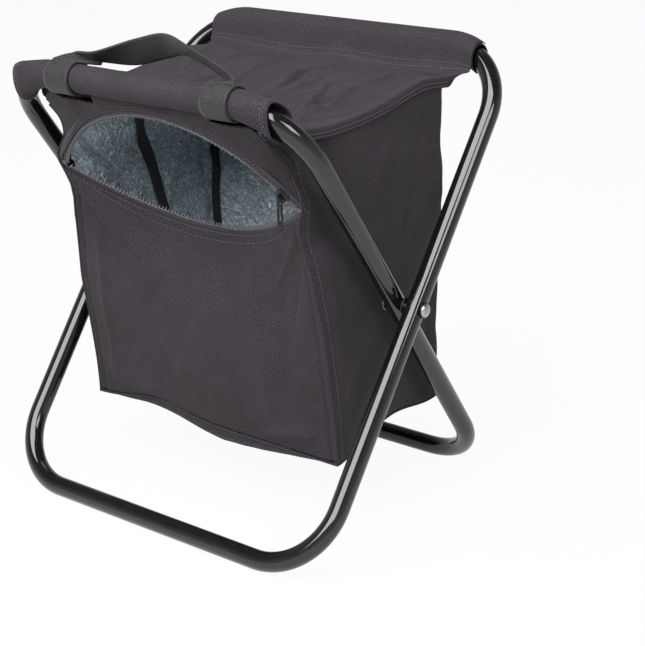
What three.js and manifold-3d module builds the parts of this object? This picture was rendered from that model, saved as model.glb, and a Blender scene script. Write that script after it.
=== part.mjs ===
// Folding cooler stool: two bent tube frames crossed on two rivets, a cloth seat slung between
// their top bars, and an insulated bag with an arched zip hung below the seat.
// Millimetres. +Z is up, X runs along the bars, and the zip is on the -Y side.
// The origin lies on the floor, midway between the bars that stand on it.

import * as THREE from 'three';
import { mergeVertices } from 'three/addons/utils/BufferGeometryUtils.js';
import Module from 'manifold-3d';

const wasm = await Module();
wasm.setup();

// Tube frames. Arms run from the rivets to the centre of each cross bar.
const tubeDiameter = 16;
const tubeWall = 1;
const outerHalfWidth = 165.3;
const frameGap = 2;
const cornerRadius = 57;
const footArm = 222.8;
const rearArm = 221.8;
const frontArm = 214.3;
const openAngle = THREE.MathUtils.degToRad(72);
const buttGap = 0.6;
const joinerLength = 70;
const joinerWall = 1.2;

// Pivots
const shankDiameter = 6;
const rivetHeadDiameter = 11;
const rivetHeadHeight = 2.6;
const rivetTailDiameter = 9;
const rivetTailHeight = 1.8;
const washerDiameter = 13;
const washerThickness = 0.8;
const spacerDiameter = 14;

// Cloth
const clothThickness = 1.6;
const sleeveThickness = 2.4;
const sleeveSlack = 0.7;
const frontSleeveLift = 0.35;
const rearSleeveInset = 26.7;
const frontSleeveInset = 17.1;
const linerThickness = 3;
const bagInset = 19.3;
const seatSag = 33;
const seatHollow = 4;
const seatFoldDepth = 1.6;
const rearFlare = 5;
const sideBelly = 1.5;
const backBelly = 4;

// The bag's corners, seen from the side: how far each one is inside and below the bar it hangs from
const bagBackInset = 37.37;
const bagBackDrop = 288.69;
const bagBackTuck = 9;
const bagFrontInset = 75.96;
const bagFrontDrop = 298.62;
const sideArch = 12;
const bottomSag = 33;
const sagForward = 0.7;
const seamBow = 1.3;
const tuckPower = 6;
const cornerTuck = 10;
const cornerPower = 5;

// Zip: an arch cut in the front, from corner to corner, placed from the front bar
const zipInset = 6;
const zipCornerInset = 37.96;
const zipCornerDrop = 82.62;
const zipApexInset = 8.96;
const zipApexDrop = 23.62;
const zipTapeWidth = 6.4;
const zipTapeThickness = 0.8;
const chainThickness = 2.4;
const chainWidth = 2.9;
const toothPitch = 3.6;
const toothDepth = 1.3;
const lipDrop = 40;
const lipInset = 40;
const frontBelly = 12;
const stopLength = 5;
const stopLow = -1.2;
const stopHigh = 3.2;
const chainEndInset = 2;
const lipLeanMiddle = -0.35;
const lipLeanCorner = 0.3;
const dentPower = 2;
const tapeSteps = 28;

// Slider and its pull
const sliderLength = 11;
const sliderWidth = 10;
const sliderPlate = 1.2;
const sliderFlange = 1;
const sliderInset = 10;
const postLength = 3;
const postWidth = 2;
const stapleLength = 5.4;
const stapleWidth = 1.6;
const stapleBar = 1;
const stapleRoom = 2.4;
const pullBar = 1.4;
const pullThickness = 1.2;
const pullWidth = 5;
const pullNeck = 5;
const pullLength = 25;
const pullSlotWidth = 1.8;
const pullSlotStart = 3;
const pullSlotLength = 10;

// Carry handle: one strap, looped round the front bar at both ends
const strapWidth = 25;
const strapThickness = 1.6;
const handleSpanShare = 0.625;
const handleBack = 17;
const handleRise = 30;
const strapSteps = 44;
const slitLength = 42;
const slitDrop = 5;

// Liner tapes
const bindingWidth = 11;
const bindingThickness = 0.8;
const bindingTopShare = 0.46;
const bindingBottomShare = 0.78;
const bindingEnds = [0.06, 0.9];

// Where the liners end, as shares of the cloth they lie on
const linerTopShare = 0.025;
const linerBottomShare = 0.96;
const linerFrontShare = 0.07;
const linerBackShare = 0.965;
const floorLinerEnds = [0.05, 0.93];
const topLinerEnds = [0.22, 0.78];

// Gap left between pieces that touch
const fit = 0.3;
const exitGap = 0.8;
const seatEase = 0.1;
const linerEase = 0.15;

// Facets
const tubeSides = 16;
const bendSteps = 6;
const roundSides = 16;
const seatColumns = 14;
const seatRows = 17;
const wallRows = 7;
const panelColumns = 18;
const panelRows = 9;
const floorColumns = 12;

const halfAngle = openAngle / 2;
const tubeRadius = tubeDiameter / 2;
const innerHalfWidth = outerHalfWidth - tubeDiameter - frameGap;
const rearSleeveHalf = outerHalfWidth - rearSleeveInset;
const frontSleeveHalf = innerHalfWidth - frontSleeveInset;
const bagHalfWidth = innerHalfWidth - bagInset;
const zipHalfWidth = bagHalfWidth - zipInset;
const sliderX = zipHalfWidth - sliderInset;
const handleHalfSpan = bagHalfWidth * handleSpanShare;
const facetShare = 1 / Math.cos(Math.PI / tubeSides);
const tubeReach = tubeRadius * facetShare;
const pivotHeight = footArm * Math.cos(halfAngle) + tubeRadius;
const sleeveRadius = tubeRadius + sleeveSlack + sleeveThickness;
const sleeveReach = sleeveRadius * facetShare;

const colours = {
  tube: { color: 0x121315, roughness: 0.22, metalness: 0.2 },
  steel: { color: 0xb9bcc0, roughness: 0.3, metalness: 1 },
  nylon: { color: 0x0d0d0e, roughness: 0.5, metalness: 0 },
  cloth: { color: 0x3b373c, roughness: 0.9, metalness: 0 },
  webbing: { color: 0x2a292c, roughness: 0.85, metalness: 0 },
  foil: { color: 0x8b8e92, roughness: 0.35, metalness: 0.6 },
  tape: { color: 0x1b1b1d, roughness: 0.8, metalness: 0 },
  zip: { color: 0x141416, roughness: 0.45, metalness: 0 },
};

const stool = new THREE.Group();
const outerFrame = new THREE.Group();
const innerFrame = new THREE.Group();
outerFrame.position.z = pivotHeight;
innerFrame.position.z = pivotHeight;
outerFrame.rotation.x = -halfAngle;
innerFrame.rotation.x = halfAngle;
stool.add(outerFrame, innerFrame);

function addPiece(group, name, geometry, colour) {
  const mesh = new THREE.Mesh(geometry, new THREE.MeshStandardMaterial(colours[colour]));
  mesh.name = name;
  group.add(mesh);
  return mesh;
}

const lerp = THREE.MathUtils.lerp;
const vector = (x, y, z) => new THREE.Vector3(x, y, z);
const evenly = (count) => Array.from({ length: count + 1 }, (_, i) => i / count);

// The same rows or columns, cut short at both ends: two layers so made keep their gap
const within = (shares, low, high) => {
  const margin = 0.01;
  return [low, ...shares.filter((share) => share > low + margin && share < high - margin), high];
};

// Closed solids from rings of points

function signedVolume(points, faces) {
  const cross = new THREE.Vector3();
  let sum = 0;
  for (const [a, b, c] of faces) {
    cross.crossVectors(points[b], points[c]);
    sum += points[a].dot(cross);
  }
  return sum;
}

function solidFrom(points, faces) {
  const inward = signedVolume(points, faces) < 0;
  const geometry = new THREE.BufferGeometry();
  const flat = points.flatMap((p) => [p.x, p.y, p.z]);
  geometry.setAttribute('position', new THREE.Float32BufferAttribute(flat, 3));
  geometry.setIndex(faces.flatMap(([a, b, c]) => (inward ? [a, c, b] : [a, b, c])));
  return geometry;
}

function wallFaces(faces, ringCount, ringSize, first, flip) {
  for (let i = 0; i + 1 < ringCount; i += 1) {
    for (let j = 0; j < ringSize; j += 1) {
      const a = first + i * ringSize + j;
      const b = first + i * ringSize + ((j + 1) % ringSize);
      const c = a + ringSize;
      const d = b + ringSize;
      faces.push(...(flip ? [[a, c, b], [b, c, d]] : [[a, b, c], [b, d, c]]));
    }
  }
}

function loft(rings) {
  const size = rings[0].length;
  const faces = [];
  wallFaces(faces, rings.length, size, 0, false);
  const last = (rings.length - 1) * size;
  for (let j = 1; j + 1 < size; j += 1) {
    faces.push([0, j + 1, j], [last, last + j, last + j + 1]);
  }
  return solidFrom(rings.flat(), faces);
}

function hollowLoft(outerRings, innerRings) {
  const size = outerRings[0].length;
  const inner = outerRings.length * size;
  const last = (outerRings.length - 1) * size;
  const faces = [];
  wallFaces(faces, outerRings.length, size, 0, false);
  wallFaces(faces, innerRings.length, size, inner, true);
  for (let j = 0; j < size; j += 1) {
    const k = (j + 1) % size;
    faces.push([j, inner + j, k], [k, inner + j, inner + k]);
    faces.push([last + j, last + k, inner + last + j], [last + k, inner + last + k, inner + last + j]);
  }
  return solidFrom([...outerRings.flat(), ...innerRings.flat()], faces);
}

// A sheet with thickness: the surface is a function of two shares, and the sheet lies on it
// or beside it, by an offset along the surface's normal.
function clothSlab(surface, across, along, thickness, offset = 0) {
  const grid = across.map((u) => along.map((v) => surface(u, v)));
  const lastU = across.length - 1;
  const lastV = along.length - 1;
  const layers = [[], []];
  for (let i = 0; i <= lastU; i += 1) {
    for (let j = 0; j <= lastV; j += 1) {
      const du = grid[Math.min(i + 1, lastU)][j].clone().sub(grid[Math.max(i - 1, 0)][j]);
      const dv = grid[i][Math.min(j + 1, lastV)].clone().sub(grid[i][Math.max(j - 1, 0)]);
      const normal = du.cross(dv).normalize();
      layers[0].push(grid[i][j].clone().addScaledVector(normal, offset + thickness / 2));
      layers[1].push(grid[i][j].clone().addScaledVector(normal, offset - thickness / 2));
    }
  }
  const rowSize = lastV + 1;
  const under = layers[0].length;
  const top = (i, j) => i * rowSize + j;
  const faces = [];
  for (let i = 0; i < lastU; i += 1) {
    for (let j = 0; j < lastV; j += 1) {
      const [a, b, c, d] = [top(i, j), top(i + 1, j), top(i + 1, j + 1), top(i, j + 1)];
      faces.push([a, b, c], [a, c, d]);
      faces.push([under + a, under + c, under + b], [under + a, under + d, under + c]);
    }
  }
  const rim = [];
  for (let i = 0; i < lastU; i += 1) rim.push(top(i, 0));
  for (let j = 0; j < lastV; j += 1) rim.push(top(lastU, j));
  for (let i = lastU; i > 0; i -= 1) rim.push(top(i, lastV));
  for (let j = lastV; j > 0; j -= 1) rim.push(top(0, j));
  rim.forEach((a, n) => {
    const b = rim[(n + 1) % rim.length];
    faces.push([a, under + a, b], [b, under + a, under + b]);
  });
  return solidFrom(layers.flat(), faces);
}

// The same surface made of flat facets: layers cut from it at other places keep their gap
function faceted(surface, columns, rows) {
  const grid = columns.map((u) => rows.map((v) => surface(u, v)));
  const cellAt = (stops, at) => {
    let i = 0;
    while (i + 2 < stops.length && stops[i + 1] < at) i += 1;
    return [i, (at - stops[i]) / (stops[i + 1] - stops[i])];
  };
  return (u, v) => {
    const [i, s] = cellAt(columns, u);
    const [j, t] = cellAt(rows, v);
    const near = grid[i][j].clone().lerp(grid[i + 1][j], s);
    const far = grid[i][j + 1].clone().lerp(grid[i + 1][j + 1], s);
    return near.lerp(far, t);
  };
}

// Joining and cutting

function toSolid(geometry) {
  const bare = geometry.clone();
  bare.deleteAttribute('normal');
  bare.deleteAttribute('uv');
  const merged = mergeVertices(bare);
  return new wasm.Manifold(new wasm.Mesh({
    numProp: 3,
    vertProperties: new Float32Array(merged.attributes.position.array),
    triVerts: new Uint32Array(merged.index.array),
  }));
}

function toGeometry(solid) {
  const mesh = solid.getMesh();
  const geometry = new THREE.BufferGeometry();
  geometry.setAttribute('position', new THREE.Float32BufferAttribute(mesh.vertProperties, 3));
  geometry.setIndex(Array.from(mesh.triVerts));
  return geometry;
}

const joined = (...parts) => toGeometry(parts.map(toSolid).reduce((a, b) => a.add(b)));
const cut = (body, ...tools) => toGeometry(
  tools.map(toSolid).reduce((a, b) => a.subtract(b), toSolid(body)),
);

function boxAt(low, high) {
  const size = high.clone().sub(low);
  const middle = low.clone().add(high).multiplyScalar(1 / 2);
  return new THREE.BoxGeometry(size.x, size.y, size.z).translate(middle.x, middle.y, middle.z);
}

function rodAlongX(radius, length, sides) {
  return new THREE.CylinderGeometry(radius, radius, length, sides).rotateZ(Math.PI / 2);
}

function ringShape(innerRadius, outerRadius) {
  const shape = new THREE.Shape();
  shape.absarc(0, 0, outerRadius, 0, Math.PI * 2);
  const hole = new THREE.Path();
  hole.absarc(0, 0, innerRadius, 0, Math.PI * 2);
  shape.holes.push(hole);
  return shape;
}

// A ring or tube round the X axis, centred on x = 0
function ringAlongX(innerRadius, outerRadius, length, sides) {
  const settings = { depth: length, bevelEnabled: false, curveSegments: sides / 2 };
  const ring = new THREE.ExtrudeGeometry(ringShape(innerRadius, outerRadius), settings);
  return ring.translate(0, 0, -length / 2).rotateY(Math.PI / 2);
}

// The bent tubes. A station is a place on the tube's centre line in the frame's own plane, and
// the angle in that plane at which its outside faces.

function bend(centreX, centreZ, from, to, steps) {
  return evenly(steps).map((share) => {
    const angle = lerp(from, to, share);
    const x = centreX + cornerRadius * Math.cos(angle);
    const z = centreZ + cornerRadius * Math.sin(angle);
    return { x, z, angle };
  });
}

function frameStations(halfWidth, topArm) {
  const x = halfWidth - cornerRadius;
  const top = topArm - cornerRadius;
  const foot = cornerRadius - footArm;
  const quarter = Math.PI / 2;
  return [
    { x: buttGap / 2, z: topArm, angle: quarter },
    ...bend(x, top, quarter, 0, bendSteps),
    ...bend(x, foot, 0, -quarter, bendSteps),
    ...bend(-x, foot, -quarter, -quarter * 2, bendSteps),
    ...bend(-x, top, quarter * 2, quarter, bendSteps),
    { x: -buttGap / 2, z: topArm, angle: quarter },
  ];
}

// A sleeve's top is looser where the bar bends away under it, by a share of that bend
function sleeveStations(halfWidth, topArm, sleeveHalf, lift) {
  const x = halfWidth - cornerRadius;
  const quarter = Math.PI / 2;
  const turn = Math.asin((sleeveHalf - x) / cornerRadius);
  const steps = Math.ceil(bendSteps / 2);
  const stations = [
    ...bend(x, topArm - cornerRadius, quarter - turn, quarter, steps),
    ...bend(-x, topArm - cornerRadius, quarter, quarter + turn, steps),
  ];
  return stations.map((station) => {
    const upright = Math.sin(station.angle);
    return { ...station, loose: lift * cornerRadius * (1 - upright) / upright };
  });
}

// Rings of points round the stations. One facet faces the floor when the frame leans by facing.
function ringsRound(stations, apothem, facing) {
  const radius = apothem * facetShare;
  const corners = evenly(tubeSides).slice(0, tubeSides);
  return stations.map(({ x, z, angle, loose = 0 }) => corners.map((share) => {
    const turn = facing + Math.PI / tubeSides + share * Math.PI * 2;
    const out = radius * Math.cos(turn) + loose * Math.max(0, Math.cos(turn));
    return vector(x + out * Math.cos(angle), radius * Math.sin(turn), z + out * Math.sin(angle));
  }));
}

function pipe(stations, outside, inside, facing) {
  return hollowLoft(ringsRound(stations, outside, facing), ringsRound(stations, inside, facing));
}

function frameTube(halfWidth, topArm, facing) {
  const tube = pipe(frameStations(halfWidth, topArm), tubeRadius, tubeRadius - tubeWall, facing);
  const holeRadius = shankDiameter / 2 + fit;
  const holes = [1, -1].map((side) => (
    rodAlongX(holeRadius, tubeDiameter * 2, roundSides).translate(side * halfWidth, 0, 0)
  ));
  return cut(tube, ...holes);
}

function tubeJoiner(topArm) {
  const radius = tubeRadius - tubeWall - fit;
  return ringAlongX(radius - joinerWall, radius, joinerLength, roundSides).translate(0, 0, topArm);
}

function barSleeve(halfWidth, topArm, sleeveHalf, lift, facing) {
  const stations = sleeveStations(halfWidth, topArm, sleeveHalf, lift);
  return pipe(stations, sleeveRadius, sleeveRadius - sleeveThickness, facing);
}

addPiece(outerFrame, 'outer_frame_tube', frameTube(outerHalfWidth, rearArm, halfAngle), 'tube');
addPiece(innerFrame, 'inner_frame_tube', frameTube(innerHalfWidth, frontArm, -halfAngle), 'tube');
addPiece(outerFrame, 'outer_frame_joiner', tubeJoiner(rearArm), 'steel');
addPiece(innerFrame, 'inner_frame_joiner', tubeJoiner(frontArm), 'steel');
addPiece(
  outerFrame,
  'rear_sleeve',
  barSleeve(outerHalfWidth, rearArm, rearSleeveHalf, 0, halfAngle),
  'cloth',
);
addPiece(
  innerFrame,
  'front_sleeve',
  barSleeve(innerHalfWidth, frontArm, frontSleeveHalf, frontSleeveLift, -halfAngle),
  'cloth',
);

// Pivots, drawn for the +X side and turned round for the other

const outerFace = outerHalfWidth + tubeReach;
const innerFace = innerHalfWidth - tubeReach;
const headSeat = outerFace + fit + washerThickness + fit;
const tailSeat = innerFace - fit - washerThickness - fit;
const spacerThickness = outerHalfWidth - innerHalfWidth - 2 * (tubeReach + fit);

function rivet() {
  const shank = shankDiameter / 2;
  const head = rivetHeadDiameter / 2;
  const tail = rivetTailDiameter / 2;
  const rolledShare = 0.6;
  const domeShares = [[1, 0], [0.97, 0.3], [0.82, 0.66], [0.52, 0.92], [0, 1]];
  const outline = [
    [0, tailSeat - rivetTailHeight * rolledShare],
    [shank * rolledShare, tailSeat - rivetTailHeight * rolledShare],
    [shank, tailSeat - rivetTailHeight],
    [tail, tailSeat - rivetTailHeight * rolledShare],
    [tail, tailSeat],
    [shank, tailSeat],
    [shank, headSeat],
    ...domeShares.map(([r, h]) => [head * r, headSeat + rivetHeadHeight * h]),
  ].map(([r, x]) => new THREE.Vector2(r, x));
  return new THREE.LatheGeometry(outline, roundSides).rotateZ(-Math.PI / 2);
}

function washer(diameter, thickness, low) {
  const ring = ringAlongX(shankDiameter / 2 + fit, diameter / 2, thickness, roundSides);
  return ring.translate(low + thickness / 2, 0, 0);
}

for (const [side, turn] of [['right', 0], ['left', Math.PI]]) {
  const pivot = new THREE.Group();
  pivot.rotation.z = turn;
  outerFrame.add(pivot);
  addPiece(pivot, `pivot_rivet_${side}`, rivet(), 'steel');
  const headWasher = washer(washerDiameter, washerThickness, outerFace + fit);
  addPiece(pivot, `head_washer_${side}`, headWasher, 'nylon');
  const spacer = washer(spacerDiameter, spacerThickness, innerHalfWidth + tubeReach + fit);
  addPiece(pivot, `pivot_spacer_${side}`, spacer, 'nylon');
  const tailWasher = washer(washerDiameter, washerThickness, tailSeat + fit);
  addPiece(pivot, `tail_washer_${side}`, tailWasher, 'steel');
}

// Where the bars run, seen from the side, at any place across the stool

function barAt(x, halfWidth, topArm, lean) {
  const past = Math.max(0, Math.abs(x) - (halfWidth - cornerRadius));
  const arm = topArm - cornerRadius + Math.sqrt(cornerRadius ** 2 - past ** 2);
  return vector(x, lean * arm * Math.sin(halfAngle), pivotHeight + arm * Math.cos(halfAngle));
}

const rearBar = (x) => barAt(x, outerHalfWidth, rearArm, 1);
const frontBar = (x) => barAt(x, innerHalfWidth, frontArm, -1);
const rearAxis = rearBar(0);
const frontAxis = frontBar(0);
const bagBackY = rearAxis.y - bagBackInset;
const bagBackBottomZ = rearAxis.z - bagBackDrop;
const bagFrontBottomY = frontAxis.y + bagFrontInset;
const bagFrontBottomZ = frontAxis.z - bagFrontDrop;
const zipCornerY = frontAxis.y + zipCornerInset;
const zipCornerZ = frontAxis.z - zipCornerDrop;
const zipApexY = frontAxis.y + zipApexInset;
const zipApexZ = frontAxis.z - zipApexDrop;

// Seat: a slack sling from bar to bar. Each pair is a share of the way from the rear bar to the
// front bar, and a share of the sag below the rear bar.
const seatLineShares = [[0.08, 0.46], [0.286, 0.47], [0.493, 0.8], [0.641, 0.98], [0.79, 1], [0.9, 0.8]];
const clothExit = sleeveReach + exitGap;
const rearExitAngle = THREE.MathUtils.degToRad(-144);
const frontExitAngle = THREE.MathUtils.degToRad(-32);
const stripExitAngle = THREE.MathUtils.degToRad(-77);

// How far from a bar's centre line cloth starts: more where the bar bends away
function exitAt(x, halfWidth) {
  const past = Math.max(0, Math.abs(x) - (halfWidth - cornerRadius));
  return clothExit / Math.sqrt(1 - (past / cornerRadius) ** 2);
}

function offRear(x, angle) {
  const reach = vector(0, Math.cos(angle), Math.sin(angle));
  return rearBar(x).addScaledVector(reach, exitAt(x, outerHalfWidth));
}

function offFront(x, angle) {
  const reach = vector(0, Math.cos(angle), Math.sin(angle));
  return frontBar(x).addScaledVector(reach, exitAt(x, innerHalfWidth));
}

function seatLine(x) {
  const crown = Math.max(0, 1 - (x / bagHalfWidth) ** 2);
  const fold = seatFoldDepth * crown;
  const middle = seatLineShares.map(([way, drop]) => {
    const ripple = fold * Math.sin((x / bagHalfWidth + way * 2) * Math.PI * 2);
    const y = lerp(rearAxis.y, frontAxis.y, way);
    return vector(x, y, rearAxis.z - seatSag * drop - seatHollow * crown + ripple);
  });
  const start = offRear(x, rearExitAngle);
  const end = offFront(x, frontExitAngle);
  return new THREE.CatmullRomCurve3([start, ...middle, end]);
}

function heightOn(curve, y) {
  let low = 0;
  let high = 1;
  const halvings = 24;
  for (let i = 0; i < halvings; i += 1) {
    const middle = (low + high) / 2;
    if (curve.getPoint(middle).y > y) low = middle;
    else high = middle;
  }
  return curve.getPoint(low).z;
}

const seatUnder = (x, y) => heightOn(seatLine(x), y) - clothThickness / 2 - fit - seatEase;
const wallInside = bagHalfWidth - clothThickness / 2 - fit;
const linerOffset = clothThickness / 2 + fit + linerEase + linerThickness / 2;
const linerInside = bagHalfWidth - linerOffset - linerThickness / 2 - fit - linerEase;
const tapeOnLiner = linerOffset + linerThickness / 2 + fit + bindingThickness / 2;
const seatHalfWidth = bagHalfWidth + clothThickness / 2;
const seatFlareShare = 2 / (seatLineShares.length + 1);
const loopInner = (sleeveReach + fit) / Math.cos(Math.PI / roundSides);
const loopOuter = loopInner + strapThickness;

function seatSurface(u, v) {
  const flare = rearFlare * Math.max(0, 1 - v / seatFlareShare);
  const x = lerp(-1, 1, u) * (seatHalfWidth + flare);
  return seatLine(x).getPoint(v);
}

// Room round the front bar for the handle's loops
function loopRoom(centreX, length, radius) {
  const room = rodAlongX(radius, length, roundSides * 2);
  return room.translate(centreX, frontAxis.y, frontAxis.z);
}

const loopRooms = [-1, 1].map((side) => (
  loopRoom(side * handleHalfSpan, strapWidth + 2 * fit, loopOuter + strapThickness / 2 + fit)
));
const seatCloth = clothSlab(seatSurface, evenly(seatColumns), evenly(seatRows), clothThickness);
addPiece(stool, 'seat_panel', cut(seatCloth, ...loopRooms), 'cloth');

// The zip's arch is an arc of a circle, in the plane of its two corners and its apex

const zipRise = Math.hypot(zipApexY - zipCornerY, zipApexZ - zipCornerZ);
const zipRadius = (zipHalfWidth ** 2 + zipRise ** 2) / (2 * zipRise);
const planeUp = vector(0, zipApexY - zipCornerY, zipApexZ - zipCornerZ).normalize();
const planeOut = vector(0, -planeUp.z, planeUp.y);
const zipCorner = vector(0, zipCornerY, zipCornerZ);
const arcCentre = zipCorner.clone().addScaledVector(planeUp, zipRise - zipRadius);
const tapeInner = chainWidth / 2 + fit;
const tapeOuter = tapeInner + zipTapeWidth;
const chainHalfWidth = zipHalfWidth - chainEndInset;

function radialAt(angle) {
  return planeUp.clone().multiplyScalar(Math.cos(angle)).add(vector(Math.sin(angle), 0, 0));
}

const onArc = (angle, radius) => arcCentre.clone().addScaledVector(radialAt(angle), radius);

// Places on the two lips. Back points away from the mouth and out is the cloth's face.

function upperLip(share, halfWidth) {
  const turn = Math.asin(halfWidth / zipRadius);
  const angle = lerp(-turn, turn, share);
  return { point: onArc(angle, zipRadius), back: radialAt(angle), out: planeOut };
}

function lowerLip(share, halfWidth) {
  const place = lerp(-1, 1, share) * halfWidth / zipHalfWidth;
  const open = 1 - place ** 2;
  const x = zipHalfWidth * place;
  const point = vector(x, zipCornerY + lipInset * open, zipCornerZ - lipDrop * open);
  const run = vector(zipHalfWidth, -2 * lipInset * place, 2 * lipDrop * place).normalize();
  const back = vector(0, lerp(lipLeanMiddle, lipLeanCorner, place ** 2), -1);
  back.addScaledVector(run, -back.dot(run)).normalize();
  return { point, back, out: back.clone().cross(run).normalize() };
}

const beside = (lip, away) => lip.point.clone().addScaledVector(lip.back, away);

function zipChain(lipAt, length) {
  const count = 2 * Math.round(length / toothPitch);
  const rings = evenly(count).map((share, i) => {
    const lip = lipAt(share, chainHalfWidth);
    const tip = (i % 2) * toothDepth - chainWidth / 2;
    const half = chainThickness / 2;
    const corners = [[tip, -half], [tip, half], [chainWidth / 2, half], [chainWidth / 2, -half]];
    return corners.map(([away, out]) => beside(lip, away).addScaledVector(lip.out, out));
  });
  return loft(rings);
}

function zipTape(lipAt, halfWidth) {
  const surface = (u, v) => beside(lipAt(u, halfWidth), lerp(tapeInner, tapeOuter, v));
  return clothSlab(surface, evenly(tapeSteps), [0, 1], zipTapeThickness);
}

const tapeTurn = Math.asin(wallInside / (zipRadius + tapeOuter));
const tapeHalfWidth = zipRadius * Math.sin(tapeTurn);
const zipLength = 2 * zipRadius * Math.asin(zipHalfWidth / zipRadius);
addPiece(stool, 'zip_chain_upper', zipChain(upperLip, zipLength), 'zip');
addPiece(stool, 'zip_chain_lower', zipChain(lowerLip, zipLength), 'zip');
addPiece(stool, 'zip_tape_upper', zipTape(upperLip, tapeHalfWidth - fit), 'tape');
addPiece(stool, 'zip_tape_lower', zipTape(lowerLip, zipHalfWidth), 'tape');

for (const [name, side] of [['left', -1], ['right', 1]]) {
  const height = stopHigh - stopLow;
  const stop = new THREE.BoxGeometry(stopLength, height, chainThickness);
  stop.applyMatrix4(new THREE.Matrix4().makeBasis(vector(1, 0, 0), planeUp, planeOut));
  const place = zipCorner.clone().addScaledVector(planeUp, (stopHigh + stopLow) / 2);
  stop.translate(side * (wallInside - fit - stopLength / 2), place.y, place.z);
  addPiece(stool, `zip_stop_${name}`, stop, 'zip');
}

// Front of the bag: a flat strip from the front bar down to the zip, and a panel below it

const stripRadius = zipRadius + tapeOuter + 2 * fit;
const stripTurn = Math.asin((wallInside - 2 * fit) / stripRadius);

function stripSurface(u, v) {
  const foot = onArc(lerp(-stripTurn, stripTurn, u), stripRadius);
  const corner = cornerTuck * Math.abs(lerp(-1, 1, u)) ** cornerPower;
  const place = foot.lerp(offFront(foot.x, stripExitAngle), v);
  place.y += corner * Math.sin(Math.PI * v);
  return place;
}

const stripFoot = stripSurface(1, 0);
const stripHead = stripSurface(1, 1);
const slits = [-1, 1].map((side) => {
  const centreX = side * handleHalfSpan + (slitLength - strapWidth) / 2;
  return loopRoom(centreX, slitLength, clothExit + slitDrop);
});
const strip = clothSlab(stripSurface, evenly(24), evenly(4), clothThickness);
addPiece(stool, 'front_strip', cut(strip, ...slits), 'cloth');

// How far forward the front corner seams stand at a height
function seamY(z) {
  const up = (z - stripFoot.z) / (stripHead.z - stripFoot.z);
  if (up > 0) {
    const share = Math.min(1, up);
    return lerp(stripFoot.y, stripHead.y, share) + cornerTuck * Math.sin(Math.PI * share);
  }
  const share = Math.max(0, (z - bagFrontBottomZ) / (stripFoot.z - bagFrontBottomZ));
  return lerp(bagFrontBottomY, stripFoot.y, share ** seamBow);
}

function rimZ(share) {
  return lerp(bagFrontBottomZ, bagBackBottomZ, share) + sideArch * Math.sin(Math.PI * share) ** 2;
}

const wallFoot = clothThickness / 2 + fit;
const panelCorner = beside(lowerLip(1, zipHalfWidth), tapeOuter + fit);

function frontPanel(u, v) {
  const side = lerp(-1, 1, u);
  const top = beside(lowerLip(u, zipHalfWidth), tapeOuter + fit);
  const z = lerp(top.z, rimZ(0) + wallFoot, v);
  const dent = (top.y - seamY(top.z)) * (1 - v) ** dentPower;
  const belly = frontBelly * (1 - side ** 2) * Math.sin(Math.PI * v);
  const x = lerp(top.x * wallInside / panelCorner.x, side * wallInside, v);
  return vector(x, seamY(z) + dent - belly, z);
}

addPiece(stool, 'front_panel', clothSlab(frontPanel, evenly(panelColumns), evenly(panelRows), clothThickness), 'cloth');

// Side, back and bottom. The first share runs from front to back or from left to right, and the
// second from top to bottom.

const backY = (v) => bagBackY - bagBackTuck * v ** tuckPower;

// Top of a side wall: under the seat, and clear of the front bar's sleeve
function wallTop(x, y) {
  const bar = frontBar(x);
  const reach = exitAt(x, innerHalfWidth);
  const away = Math.abs(y - bar.y);
  const under = away < reach ? bar.z - Math.sqrt(reach ** 2 - away ** 2) : bar.z;
  return Math.min(seatUnder(x, y), under);
}

function sideWall(side, u, v) {
  const topZ = wallTop(side * bagHalfWidth, lerp(stripHead.y, bagBackY, u));
  const z = lerp(topZ, rimZ(u) + wallFoot, v);
  const frontY = seamY(lerp(stripHead.z, bagFrontBottomZ, v));
  const belly = sideBelly * Math.sin(Math.PI * u) * Math.sin(Math.PI * v);
  return vector(side * (bagHalfWidth + belly), lerp(frontY, backY(v), u), z);
}

function backWall(x, v) {
  const belly = backBelly * (1 - (x / bagHalfWidth) ** 2) * Math.sin(Math.PI * v);
  const z = lerp(seatUnder(x, bagBackY), rimZ(1) + wallFoot, v);
  return vector(x, backY(v) - wallFoot + belly, z);
}

function floorSurface(x, share) {
  const side = 1 - (x / seatHalfWidth) ** 2;
  const sag = bottomSag * side * Math.sin(Math.PI * share ** sagForward);
  const y = lerp(bagFrontBottomY - wallFoot, backY(1) + wallFoot, share);
  return vector(x, y, rimZ((y - bagFrontBottomY) / (backY(1) - bagFrontBottomY)) - sag);
}

// Columns of a side wall stand where the seat's own rows cross it, so the two edges match
const frontCornerShares = [0, 0.02, 0.045];
const seatRowShares = evenly(seatRows).map((v) => (
  (seatLine(bagHalfWidth).getPoint(v).y - stripHead.y) / (bagBackY - stripHead.y)
)).reverse();
const frontmost = frontCornerShares.length - 1;
const sideColumns = [
  ...frontCornerShares.slice(0, frontmost),
  ...within(seatRowShares, frontCornerShares[frontmost], 1),
];
const sideRows = evenly(wallRows);
const trim = (inside, outside) => (1 - inside / outside) / 2;

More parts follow.
